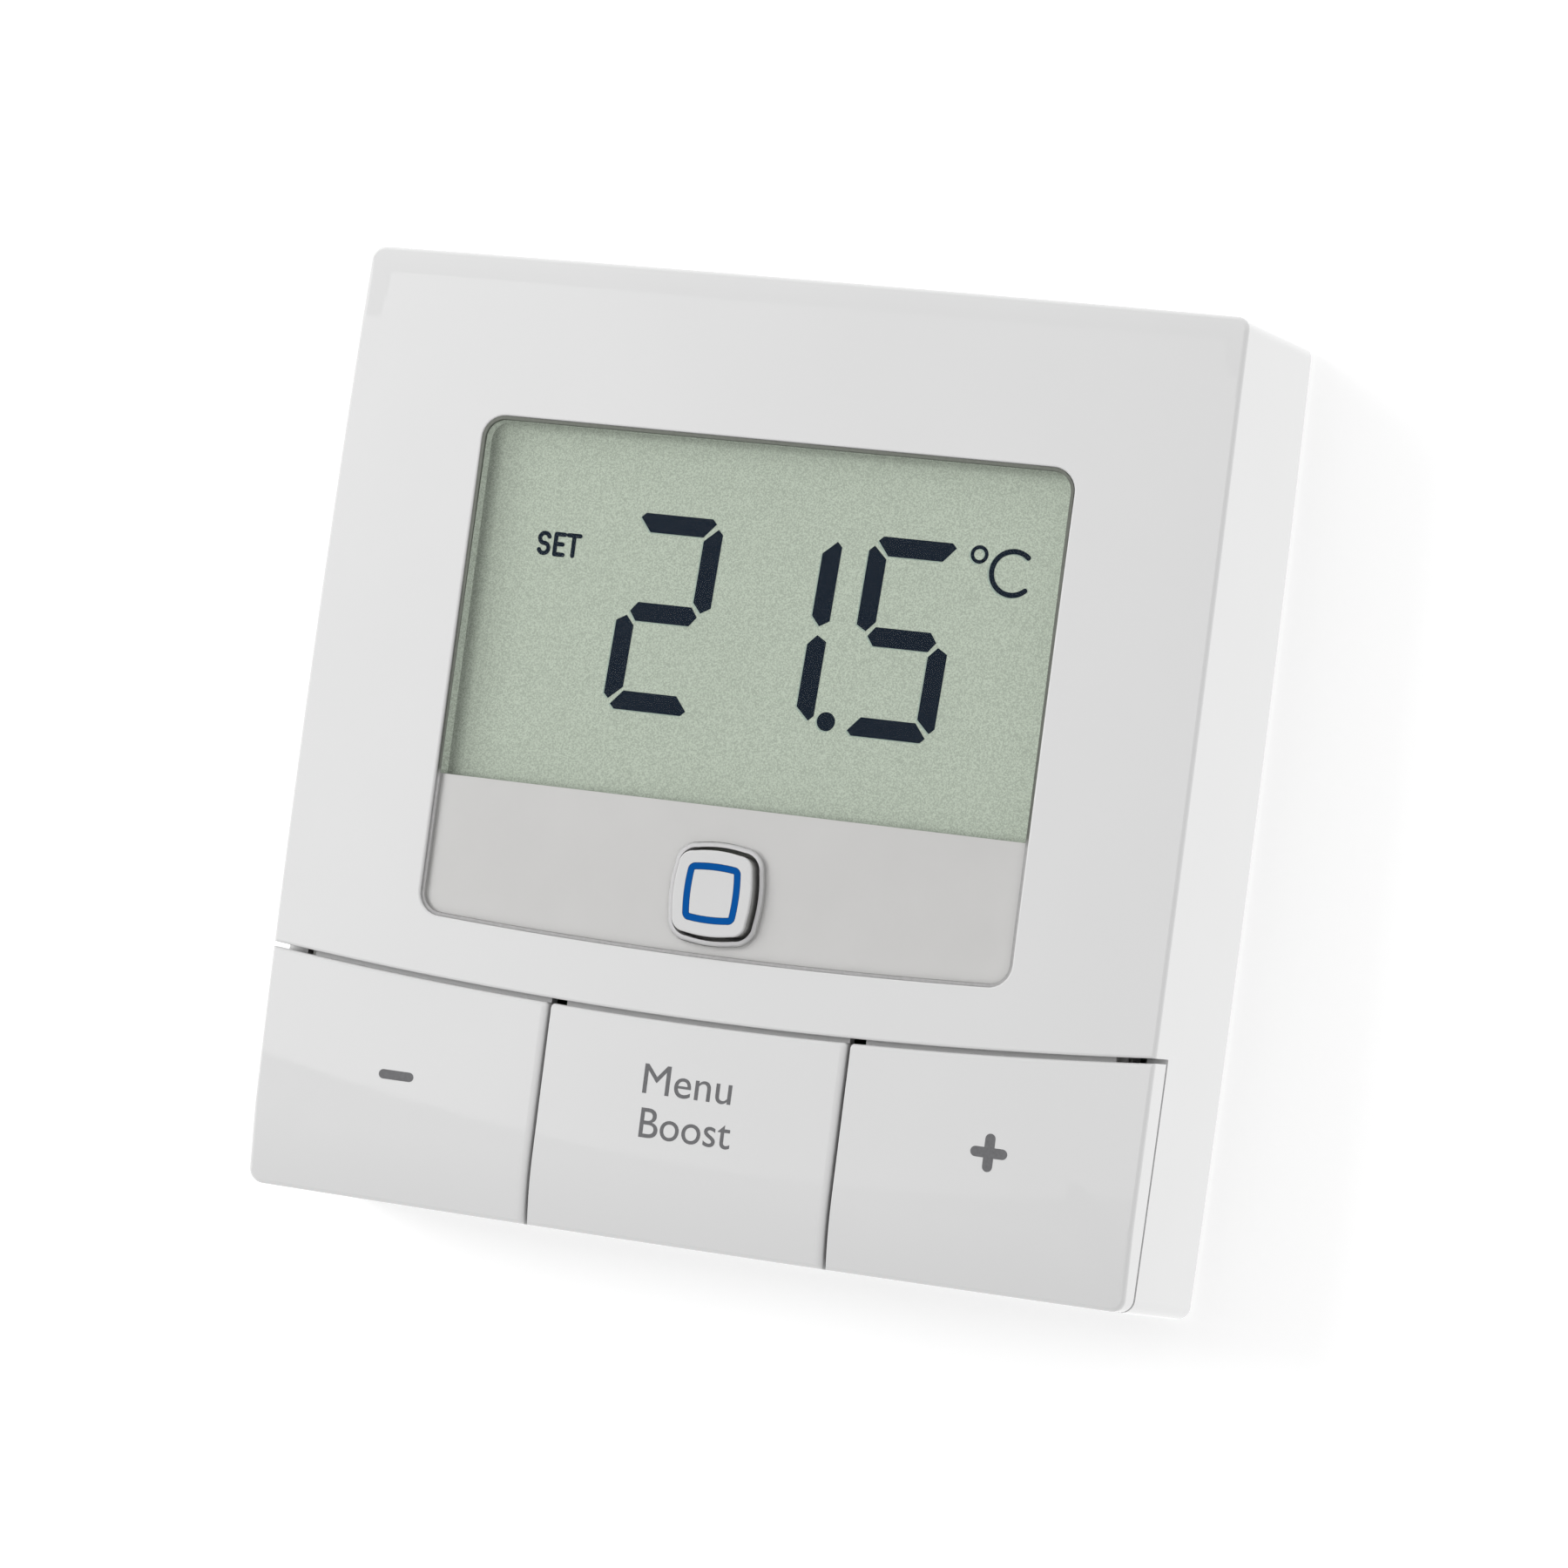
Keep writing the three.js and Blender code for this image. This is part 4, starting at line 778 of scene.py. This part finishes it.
def button_skirt():
    stem = prism(button_outline(-SKIRT_INSET), BUTTON_FACE_Y + CAP_T + 0.01, BUTTON_FLANGE_Y)
    flange = prism(button_outline(1), BUTTON_FLANGE_Y, BUTTON_FLANGE_Y + SKIRT_FLANGE_T)
    hollow = prism(button_outline(-1), SKIRT_HOLLOW_Y, BUTTON_FLANGE_Y + 2)
    rib = block(-RIB_HALF_W, RIB_HALF_W, RIB_FRONT_Y, BUTTON_FLANGE_Y, BUTTON_Z - RIB_LOW,
                BUTTON_Z - RIB_TOP)
    return join(cut(join(stem, flange), hollow), rib)


def light_ring():
    outer = prism(ring_outline(0), BUTTON_FACE_Y - 0.01, BUTTON_FACE_Y + RING_T)
    inner = prism(ring_outline(-RING_STROKE), BUTTON_FACE_Y - 1, BUTTON_FACE_Y + 1)
    return cut(outer, inner)


WHITE = FINISH["white"]
finish_piece(front_cover(), "cover_shell", WHITE, "unit", ["front_cover"])
KEYS = {
    "minus": (-HALF_W - 3, -KEY_SPLIT_X - KEY_HALF_GAP, True, False),
    "menu": (-KEY_SPLIT_X + KEY_HALF_GAP, KEY_SPLIT_X - KEY_HALF_GAP, False, False),
    "plus": (KEY_SPLIT_X + KEY_HALF_GAP, HALF_W + 3, False, True),
}
OUTER_X = HALF_W - SHELL
for key_name, (x0, x1, left, right) in KEYS.items():
    x0, x1 = max(x0, -OUTER_X), min(x1, OUTER_X)
    finish_piece(key(x0, x1, left, right), f"{key_name}_key_shell", WHITE, key_name,
                 [f"{key_name}_key"])
finish_piece(lens(), "window_lens", FINISH["clear"], "unit", ["lens"],
             offset=LENS_SET_BACK)
finish_piece(painted_shade_seal(), "window_painted_shade_seal", FINISH["painted_shade_seal"], "unit", front=False)
finish_piece(strip_film(), "strip_film", FINISH["strip"], "unit", ["lens_mask"], front=False)
finish_piece(button_surround(), "button_surround", FINISH["surround"], "unit", front=False)
finish_piece(button_cap(), "button_cap", FINISH["button"], "system", ["system_button"],
             front=False)
finish_piece(button_skirt(), "button_skirt", FINISH["skirt"], "system", front=False)
finish_piece(light_ring(), "button_ring", FINISH["blue"], "system", ["light_ring"],
             front=False)


# ---- Display content -------------------------------------------------------------------

SEG_Y, SEG_T = LCD_FRONT_Y - 0.04, 0.02
SHADE_Y, SHADE_T, SHADE_X, SHADE_Z = LCD_FRONT_Y - 0.005, 0.01, -0.13, -0.09
SLANT = 0.04
DIGIT_Z, DIGIT_HALF_H, DIGIT_HALF_W = 11.76, 8.44, 4.12
STROKE = 1.62
DIGIT_X = {"2": -9.05, "1": 1.6, "5": 12.24}
LIT = {"2": "abged", "1": "bc", "5": "afgcd"}


def segments(cx):
    """The seven bars of a digit as lists of points, before its slant."""
    w, h, s = DIGIT_HALF_W, DIGIT_HALF_H, STROKE

    def across(side):
        return [(x, side * z) for x, z in ((-3.02, h), (3.02, h), (3.42, h - 0.4), (2.4, h - s),
                                           (-2.4, h - s), (-3.42, h - 0.4))]

    middle = [(-2.42, s / 2), (2.42, s / 2), (3.02, 0), (2.42, -s / 2), (-2.42, -s / 2), (-3.02, 0)]

    def upright(side, up):
        pts = [(w, 7.17), (w - 0.44, 7.6), (w - s, 6.52), (w - s, 1.22), (w - 0.86, 0.38), (w, 0.88)]
        return [(side * x, up * z) for x, z in pts]

    bars = {"a": across(1), "d": across(-1), "g": middle, "b": upright(1, 1),
            "c": upright(1, -1), "f": upright(-1, 1), "e": upright(-1, -1)}
    return {k: [(cx + x + SLANT * z, DIGIT_Z + z) for x, z in p] for k, p in bars.items()}


def flat_shapes(shapes, y0, y1):
    """One mesh of thin prisms, each drawn by an outline."""
    verts, faces = [], []
    for shape in shapes:
        n, base = len(shape), len(verts)
        verts += [(x, y0, z) for x, z in shape] + [(x, y1, z) for x, z in shape]
        faces += [tuple(base + k for k in range(n)), tuple(base + n + k for k in reversed(range(n)))]
        faces += [(base + k, base + (k + 1) % n, base + n + (k + 1) % n, base + n + k) for k in range(n)]
    return solid(verts, faces)


def band(points, width, closed=False, cap_steps=6):
    """A stroke of constant width along points: one round-ended outline, or quads if closed."""
    shapes = []
    n = len(points)
    sides = []
    for k in range(n):
        a = points[(k - 1) % n if closed else max(k - 1, 0)]
        b = points[(k + 1) % n if closed else min(k + 1, n - 1)]
        d = Vector((b[0] - a[0], b[1] - a[1])).normalized()
        sides.append((-d.y, d.x))
    half = width / 2
    left = [(p[0] + s[0] * half, p[1] + s[1] * half) for p, s in zip(points, sides)]
    right = [(p[0] - s[0] * half, p[1] - s[1] * half) for p, s in zip(points, sides)]
    if closed:
        for k in range(n):
            m = (k + 1) % n
            shapes.append([left[k], left[m], right[m], right[k]])
        return shapes
    shape = list(left)
    shape += arc_points(points[-1], half, math.atan2(sides[-1][1], sides[-1][0]), -math.pi, cap_steps)
    shape += list(reversed(right))
    shape += arc_points(points[0], half, math.atan2(-sides[0][1], -sides[0][0]), -math.pi, cap_steps)
    return [shape]


def arc_points(centre, r, start, sweep, steps, ends=False):
    ks = range(0, steps + 1) if ends else range(1, steps)
    return [(centre[0] + r * math.cos(start + sweep * k / steps),
             centre[1] + r * math.sin(start + sweep * k / steps)) for k in ks]


def circle(cx, cz, r, steps=28):
    return [(cx + r * math.cos(2 * math.pi * k / steps), cz + r * math.sin(2 * math.pi * k / steps))
            for k in range(steps)]


def text_shape(words, size, x, z, condense):
    """Letters of Blender's own plain face as a flat mesh in mm, centred on (x, z)."""
    curve = bpy.data.curves.new("work", "FONT")
    curve.body = words
    curve.size = size
    curve.align_x = "CENTER"
    curve.align_y = "CENTER"
    curve.resolution_u = 6
    obj = bpy.data.objects.new("work", curve)
    bpy.context.scene.collection.objects.link(obj)
    mesh = bpy.data.meshes.new_from_object(obj.evaluated_get(bpy.context.evaluated_depsgraph_get()))
    bpy.data.objects.remove(obj)
    bpy.data.curves.remove(curve)
    xs = [v.co.x for v in mesh.vertices]
    ys = [v.co.y for v in mesh.vertices]
    mid_x, mid_y = (min(xs) + max(xs)) / 2, (min(ys) + max(ys)) / 2
    for v in mesh.vertices:
        v.co = (x + (v.co.x - mid_x) * condense, 0.0, z + (v.co.y - mid_y))
    return mesh


def printed(mesh, y_at, thickness):
    """Turns a flat drawing into a thin layer of ink that follows a surface y = y_at(z)."""
    bm = bmesh.new()
    bm.from_mesh(mesh)
    bpy.data.meshes.remove(mesh)
    bmesh.ops.remove_doubles(bm, verts=bm.verts, dist=1e-4)
    bmesh.ops.recalc_face_normals(bm, faces=bm.faces)
    made = bmesh.ops.extrude_face_region(bm, geom=bm.faces[:])
    raised = {v for v in made["geom"] if isinstance(v, bmesh.types.BMVert)}
    for v in bm.verts:
        v.co.y = y_at(v.co.z) - (thickness if v in raised else 0.0)
    bmesh.ops.recalc_face_normals(bm, faces=bm.faces)
    out = bpy.data.meshes.new("work")
    bm.to_mesh(out)
    bm.free()
    obj = bpy.data.objects.new("work", out)
    bpy.context.scene.collection.objects.link(obj)
    return obj


def letters(strokes, width):
    """Round-ended strokes joined into one flat drawing."""
    shapes = []
    for line in strokes:
        shapes += band(line, width)
    return shapes


def merged(shapes, y_at, thickness):
    """Overlapping outlines fused into one thin printed layer on a surface."""
    objs = []
    for shape in shapes:
        verts = [(x, y_at(z), z) for x, z in shape]
        verts += [(x, y_at(z) - thickness, z) for x, z in shape]
        n = len(shape)
        faces = [tuple(range(n)), tuple(reversed(range(n, 2 * n)))]
        faces += [(k, (k + 1) % n, n + (k + 1) % n, n + k) for k in range(n)]
        objs.append(solid(verts, faces))
    return join(*objs)


def lcd_shapes(dx=0.0, dz=0.0):
    shapes = []
    for digit, cx in DIGIT_X.items():
        bars = segments(cx)
        shapes += [bars[k] for k in LIT[digit]]
    shapes.append(circle(6.57, 4.24, 0.8))
    degree = circle(18.0, 19.5, 0.62)
    shapes += band(degree, 0.3, closed=True)
    arc = arc_points((21.05, 18.2), 1.83, math.radians(50), math.radians(262), 28, ends=True)
    shapes += band(arc, 0.44)
    return [[(x + dx, z + dz) for x, z in s] for s in shapes]


SET_W, SET_H, SET_X, SET_Z, SET_STROKE = 0.94, 1.74, -19.27, 16.75, 0.38


def set_strokes():
    """The small capitals beside the digits, drawn as single strokes."""
    h, w = SET_H / 2, SET_W / 2
    left, mid, right = SET_X - 1.4, SET_X, SET_X + 1.29
    s = arc_points((left, h - 0.44), 0.44, math.radians(20), math.radians(240), 10, True)
    s += arc_points((left, -h + 0.44), 0.44, math.radians(80), math.radians(-240), 10, True)
    s = [(x, z + SET_Z) for x, z in s]
    e = [(mid + w - 0.06, h), (mid - w + 0.1, h), (mid - w + 0.1, -h), (mid + w - 0.06, -h)]
    bar = [(mid - w + 0.1, 0.02), (mid + w - 0.18, 0.02)]
    t_top = [(right - w - 0.06, h), (right + w + 0.06, h)]
    t_stem = [(right, h), (right, -h)]
    lines = [[(x, z + SET_Z) for x, z in line] for line in (t_top, t_stem, bar)]
    box_line = [(x, z + SET_Z) for x, z in e]
    return [s, box_line[:2], box_line[1:3], box_line[2:], *lines]


def raise_flat(shapes, y, thickness, name, material):
    obj = flat_shapes(shapes, y, y - thickness)
    return finish_piece(obj, name, material, "unit", front=False)


set_shapes = letters(set_strokes(), SET_STROKE)
raise_flat(lcd_shapes(SHADE_X, SHADE_Z), SHADE_Y, SHADE_T, "segment_shades", FINISH["segment_shade"])
raise_flat(lcd_shapes(), SEG_Y, SEG_T, "segments", FINISH["segment"])
set_piece = merged(set_shapes, lambda z: SEG_Y, SEG_T)
finish_piece(set_piece, "set_mark", FINISH["segment"], "unit", front=False)

# ---- Legends on the keys ---------------------------------------------------------------

INK_T, INK_PROUD, LEGEND_SIZE = 0.012, 0.001, 3.62


def on_front(z):
    return front_y(z) - INK_PROUD


def capsule(cx, cz, length, width, upright=False):
    half = (length - width) / 2
    line = [(cx, cz - half), (cx, cz + half)] if upright else [(cx - half, cz), (cx + half, cz)]
    return band(line, width, cap_steps=8)[0]


LEGENDS = {
    "minus": [capsule(-26.25, -29.97, 3.2, 0.8)],
    "plus": [capsule(26.35, -29.4, 3.15, 0.86), capsule(26.35, -29.4, 3.15, 0.86, True)],
}
for key_name, shapes in LEGENDS.items():
    finish_piece(merged(shapes, on_front, INK_T), f"{key_name}_legend", FINISH["legend"], key_name,
                 front=False)
for words, x, z, condense in (("Menu", -0.14, -27.27, 1.02), ("Boost", 0.12, -30.95, 0.965)):
    drawing = text_shape(words, LEGEND_SIZE, x, z, condense)
    finish_piece(printed(drawing, on_front, INK_T), f"{words.lower()}_legend", FINISH["legend"], "menu",
                 front=False)

# ---- Looks of the CAD nodes that stay --------------------------------------------------

NODE_FINISH = {
    "wall_plate": "case", "rear_case": "case", "adhesive_pad_upper": "foam", "adhesive_pad_lower": "foam",
    "lcd_panel": "display", "lcd_reflector": "foil", "lcd_holder": "inner",
    "contact_strip": "rubber", "key_bearing": "inner", "circuit_board": "board",
    "processor_chip": "chip", "radio_module": "chip", "crystal": "steel", "capacitor": "cap",
    "climate_sensor": "chip", "antenna": "wire", "status_led": "led", "cell_upper": "cell",
    "cell_lower": "cell", "cell_spring_upper": "steel", "cell_spring_lower": "steel",
    "contact_bridge": "steel", "contact_plus": "steel", "contact_minus": "steel",
}
for n in range(1, 5):
    NODE_FINISH[f"housing_screw_{n}"] = "screw"
for switch in ("minus", "menu", "plus", "system"):
    NODE_FINISH[f"{switch}_switch"] = "chip"
    NODE_FINISH[f"{switch}_plunger"] = "plunger"

for node_name, finish in NODE_FINISH.items():
    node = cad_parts[node_name]
    for index in range(len(node.material_slots)):
        node.material_slots[index].material = FINISH[finish]

# ---- Stage, light and camera -----------------------------------------------------------

def stage_plane(name, corners, material):
    mesh = bpy.data.meshes.new(name)
    mesh.from_pydata(corners, [], [tuple(range(len(corners)))])
    mesh.materials.append(material)
    obj = bpy.data.objects.new(name, mesh)
    bpy.context.scene.collection.objects.link(obj)
    return obj


WALL_GLOW = 0.33
WALL_Y, STAGE_HALF, FLOOR_Z = 0.0006, 3, -0.4


def wall_material():
    m = Nodes("backdrop")
    diffuse = m.add("ShaderNodeBsdfDiffuse")
    m.link(m.ramp(m.noise(1.5, 1.0), [(0.3, (0.85, 0.85, 0.85, 1)), (0.7, (0.86, 0.86, 0.86, 1))]),
           diffuse.inputs["Color"])
    glow = m.add("ShaderNodeEmission")
    glow.inputs["Strength"].default_value = WALL_GLOW
    lit = m.add("ShaderNodeAddShader")
    m.link(diffuse.outputs[0], lit.inputs[0])
    m.link(glow.outputs[0], lit.inputs[1])
    clear = m.add("ShaderNodeBsdfTransparent")
    mix = m.add("ShaderNodeMixShader")
    m.link(m.add("ShaderNodeNewGeometry").outputs["Backfacing"], mix.inputs["Fac"])
    m.link(lit.outputs[0], mix.inputs[1])
    m.link(clear.outputs[0], mix.inputs[2])
    m.link(mix.outputs[0], m.out.inputs["Surface"])
    return m.material


def softbox_material():
    """Brighter towards its left end, so that its mirror image fades across the front."""
    m = Nodes("softbox_glow")
    axes = m.add("ShaderNodeSeparateXYZ")
    m.link(m.place, axes.inputs[0])
    glow = m.add("ShaderNodeEmission")
    m.link(m.span(axes.outputs["X"], 2.0, 1.2, -0.7, -0.48), glow.inputs["Strength"])
    m.link(glow.outputs[0], m.out.inputs["Surface"])
    return m.material


square = [(-STAGE_HALF, -STAGE_HALF), (STAGE_HALF, -STAGE_HALF), (STAGE_HALF, STAGE_HALF),
          (-STAGE_HALF, STAGE_HALF)]
wall = stage_plane("wall", [(a, WALL_Y, b) for a, b in square], wall_material())
wall.visible_diffuse = False
wall.visible_glossy = False
wall.visible_shadow = False
floor = stage_plane("floor", [(a, b, FLOOR_Z) for a, b in square],
                    plastic("floor_pale", (232, 232, 232), 0.7, 0.01, 0.00001, 0.01, cloud=0.5))
floor.visible_diffuse = False
floor.visible_glossy = False

TARGET = Vector((1.16, -11.0, -1.06)) * MM
CAM_AZ, CAM_EL, CAM_ROLL = math.radians(18.53), math.radians(-2.21), math.radians(7.47)
CAM_DIST = 409.06 * MM
LENS_MM = 109.88

back = Vector((math.sin(CAM_AZ) * math.cos(CAM_EL), -math.cos(CAM_AZ) * math.cos(CAM_EL), math.sin(CAM_EL)))
side = Vector((math.cos(CAM_AZ), math.sin(CAM_AZ), 0.0))
over = back.cross(side)
right = side * math.cos(CAM_ROLL) + over * math.sin(CAM_ROLL)
up = over * math.cos(CAM_ROLL) - side * math.sin(CAM_ROLL)
camera_data = bpy.data.cameras.new("camera")
camera_data.lens = LENS_MM
camera_data.sensor_width = 36.0
camera_data.clip_start = 0.01
camera = bpy.data.objects.new("camera", camera_data)
bpy.context.scene.collection.objects.link(camera)
turn = Matrix((right, up, back)).transposed().to_4x4()
camera.matrix_world = Matrix.Translation(TARGET + back * CAM_DIST) @ turn
bpy.context.scene.camera = camera

# Softbox in front and to the left: a rounded panel that the glossy front mirrors
SOFT_DIST = 1.6


def toward(az, el):
    """Point on the softbox's sphere: azimuth to the left of the front, elevation up."""
    a, e = math.radians(az), math.radians(el)
    return (-math.sin(a) * math.cos(e) * SOFT_DIST, -math.cos(a) * math.cos(e) * SOFT_DIST,
            math.sin(e) * SOFT_DIST)


BOX_AZ, BOX_LOW_EL, BOX_R, BOX_LEFT_EL, BOX_HIGH_EL = 17.3, -5.4, 25.6, 0.5, 30.0
BOX_UPPER = [(-4, 30.0), (10, 18.0), (15, 14.2), (20, 12.8), (26, 12.4), (60, 12.4)]
lower = [(az, min(BOX_LOW_EL + (az - BOX_AZ) ** 2 / (2 * BOX_R), BOX_LEFT_EL if az > BOX_AZ
                      else BOX_HIGH_EL))
         for az in range(60, -5, -2)]
softbox = stage_plane("softbox", [toward(az, el) for az, el in lower + BOX_UPPER], softbox_material())
softbox.visible_camera = False

SKY_FRONT, SKY_BEHIND, SKY_TILT = 0.72, 1.32, 0.06
SKY_FRONT_END, SKY_BEHIND_START = -0.55, 0.1
KEY_LIGHT_SIZE, KEY_LIGHT_WATTS = 0.2, 0.5
key_data = bpy.data.lights.new("key_light", "AREA")
key_data.size = KEY_LIGHT_SIZE
key_data.energy = KEY_LIGHT_WATTS
key_light = bpy.data.objects.new("key_light", key_data)
bpy.context.scene.collection.objects.link(key_light)
key_light.visible_glossy = False
key_at = Vector((-0.22, -0.3, 0.09))
key_light.matrix_world = Matrix.Translation(key_at) @ key_at.to_track_quat("Z", "Y").to_matrix().to_4x4()

world = bpy.data.worlds.new("studio")
world.use_nodes = True
sky = world.node_tree
direction = sky.nodes.new("ShaderNodeTexCoord").outputs["Generated"]
axes = sky.nodes.new("ShaderNodeSeparateXYZ")
sky.links.new(direction, axes.inputs[0])
level = sky.nodes.new("ShaderNodeMapRange")
level.inputs["From Min"].default_value = SKY_FRONT_END
level.inputs["From Max"].default_value = SKY_BEHIND_START
level.inputs["To Min"].default_value = SKY_FRONT
level.inputs["To Max"].default_value = SKY_BEHIND
sky.links.new(axes.outputs["Y"], level.inputs["Value"])
height = sky.nodes.new("ShaderNodeMapRange")
height.inputs["From Min"].default_value = -1.0
height.inputs["From Max"].default_value = 1.0
height.inputs["To Min"].default_value = 1.0 - SKY_TILT
height.inputs["To Max"].default_value = 1.0 + SKY_TILT
sky.links.new(axes.outputs["Z"], height.inputs["Value"])
both = sky.nodes.new("ShaderNodeMath")
both.operation = "MULTIPLY"
sky.links.new(level.outputs["Result"], both.inputs[0])
sky.links.new(height.outputs["Result"], both.inputs[1])
sky.links.new(both.outputs[0], sky.nodes["Background"].inputs["Strength"])
sky.nodes["Background"].inputs["Color"].default_value = (1, 1, 1, 1)
bpy.context.scene.world = world
view = bpy.context.scene.view_settings
view.view_transform = "Standard"
view.look = "None"
view.exposure = 0.0
view.gamma = 1.0
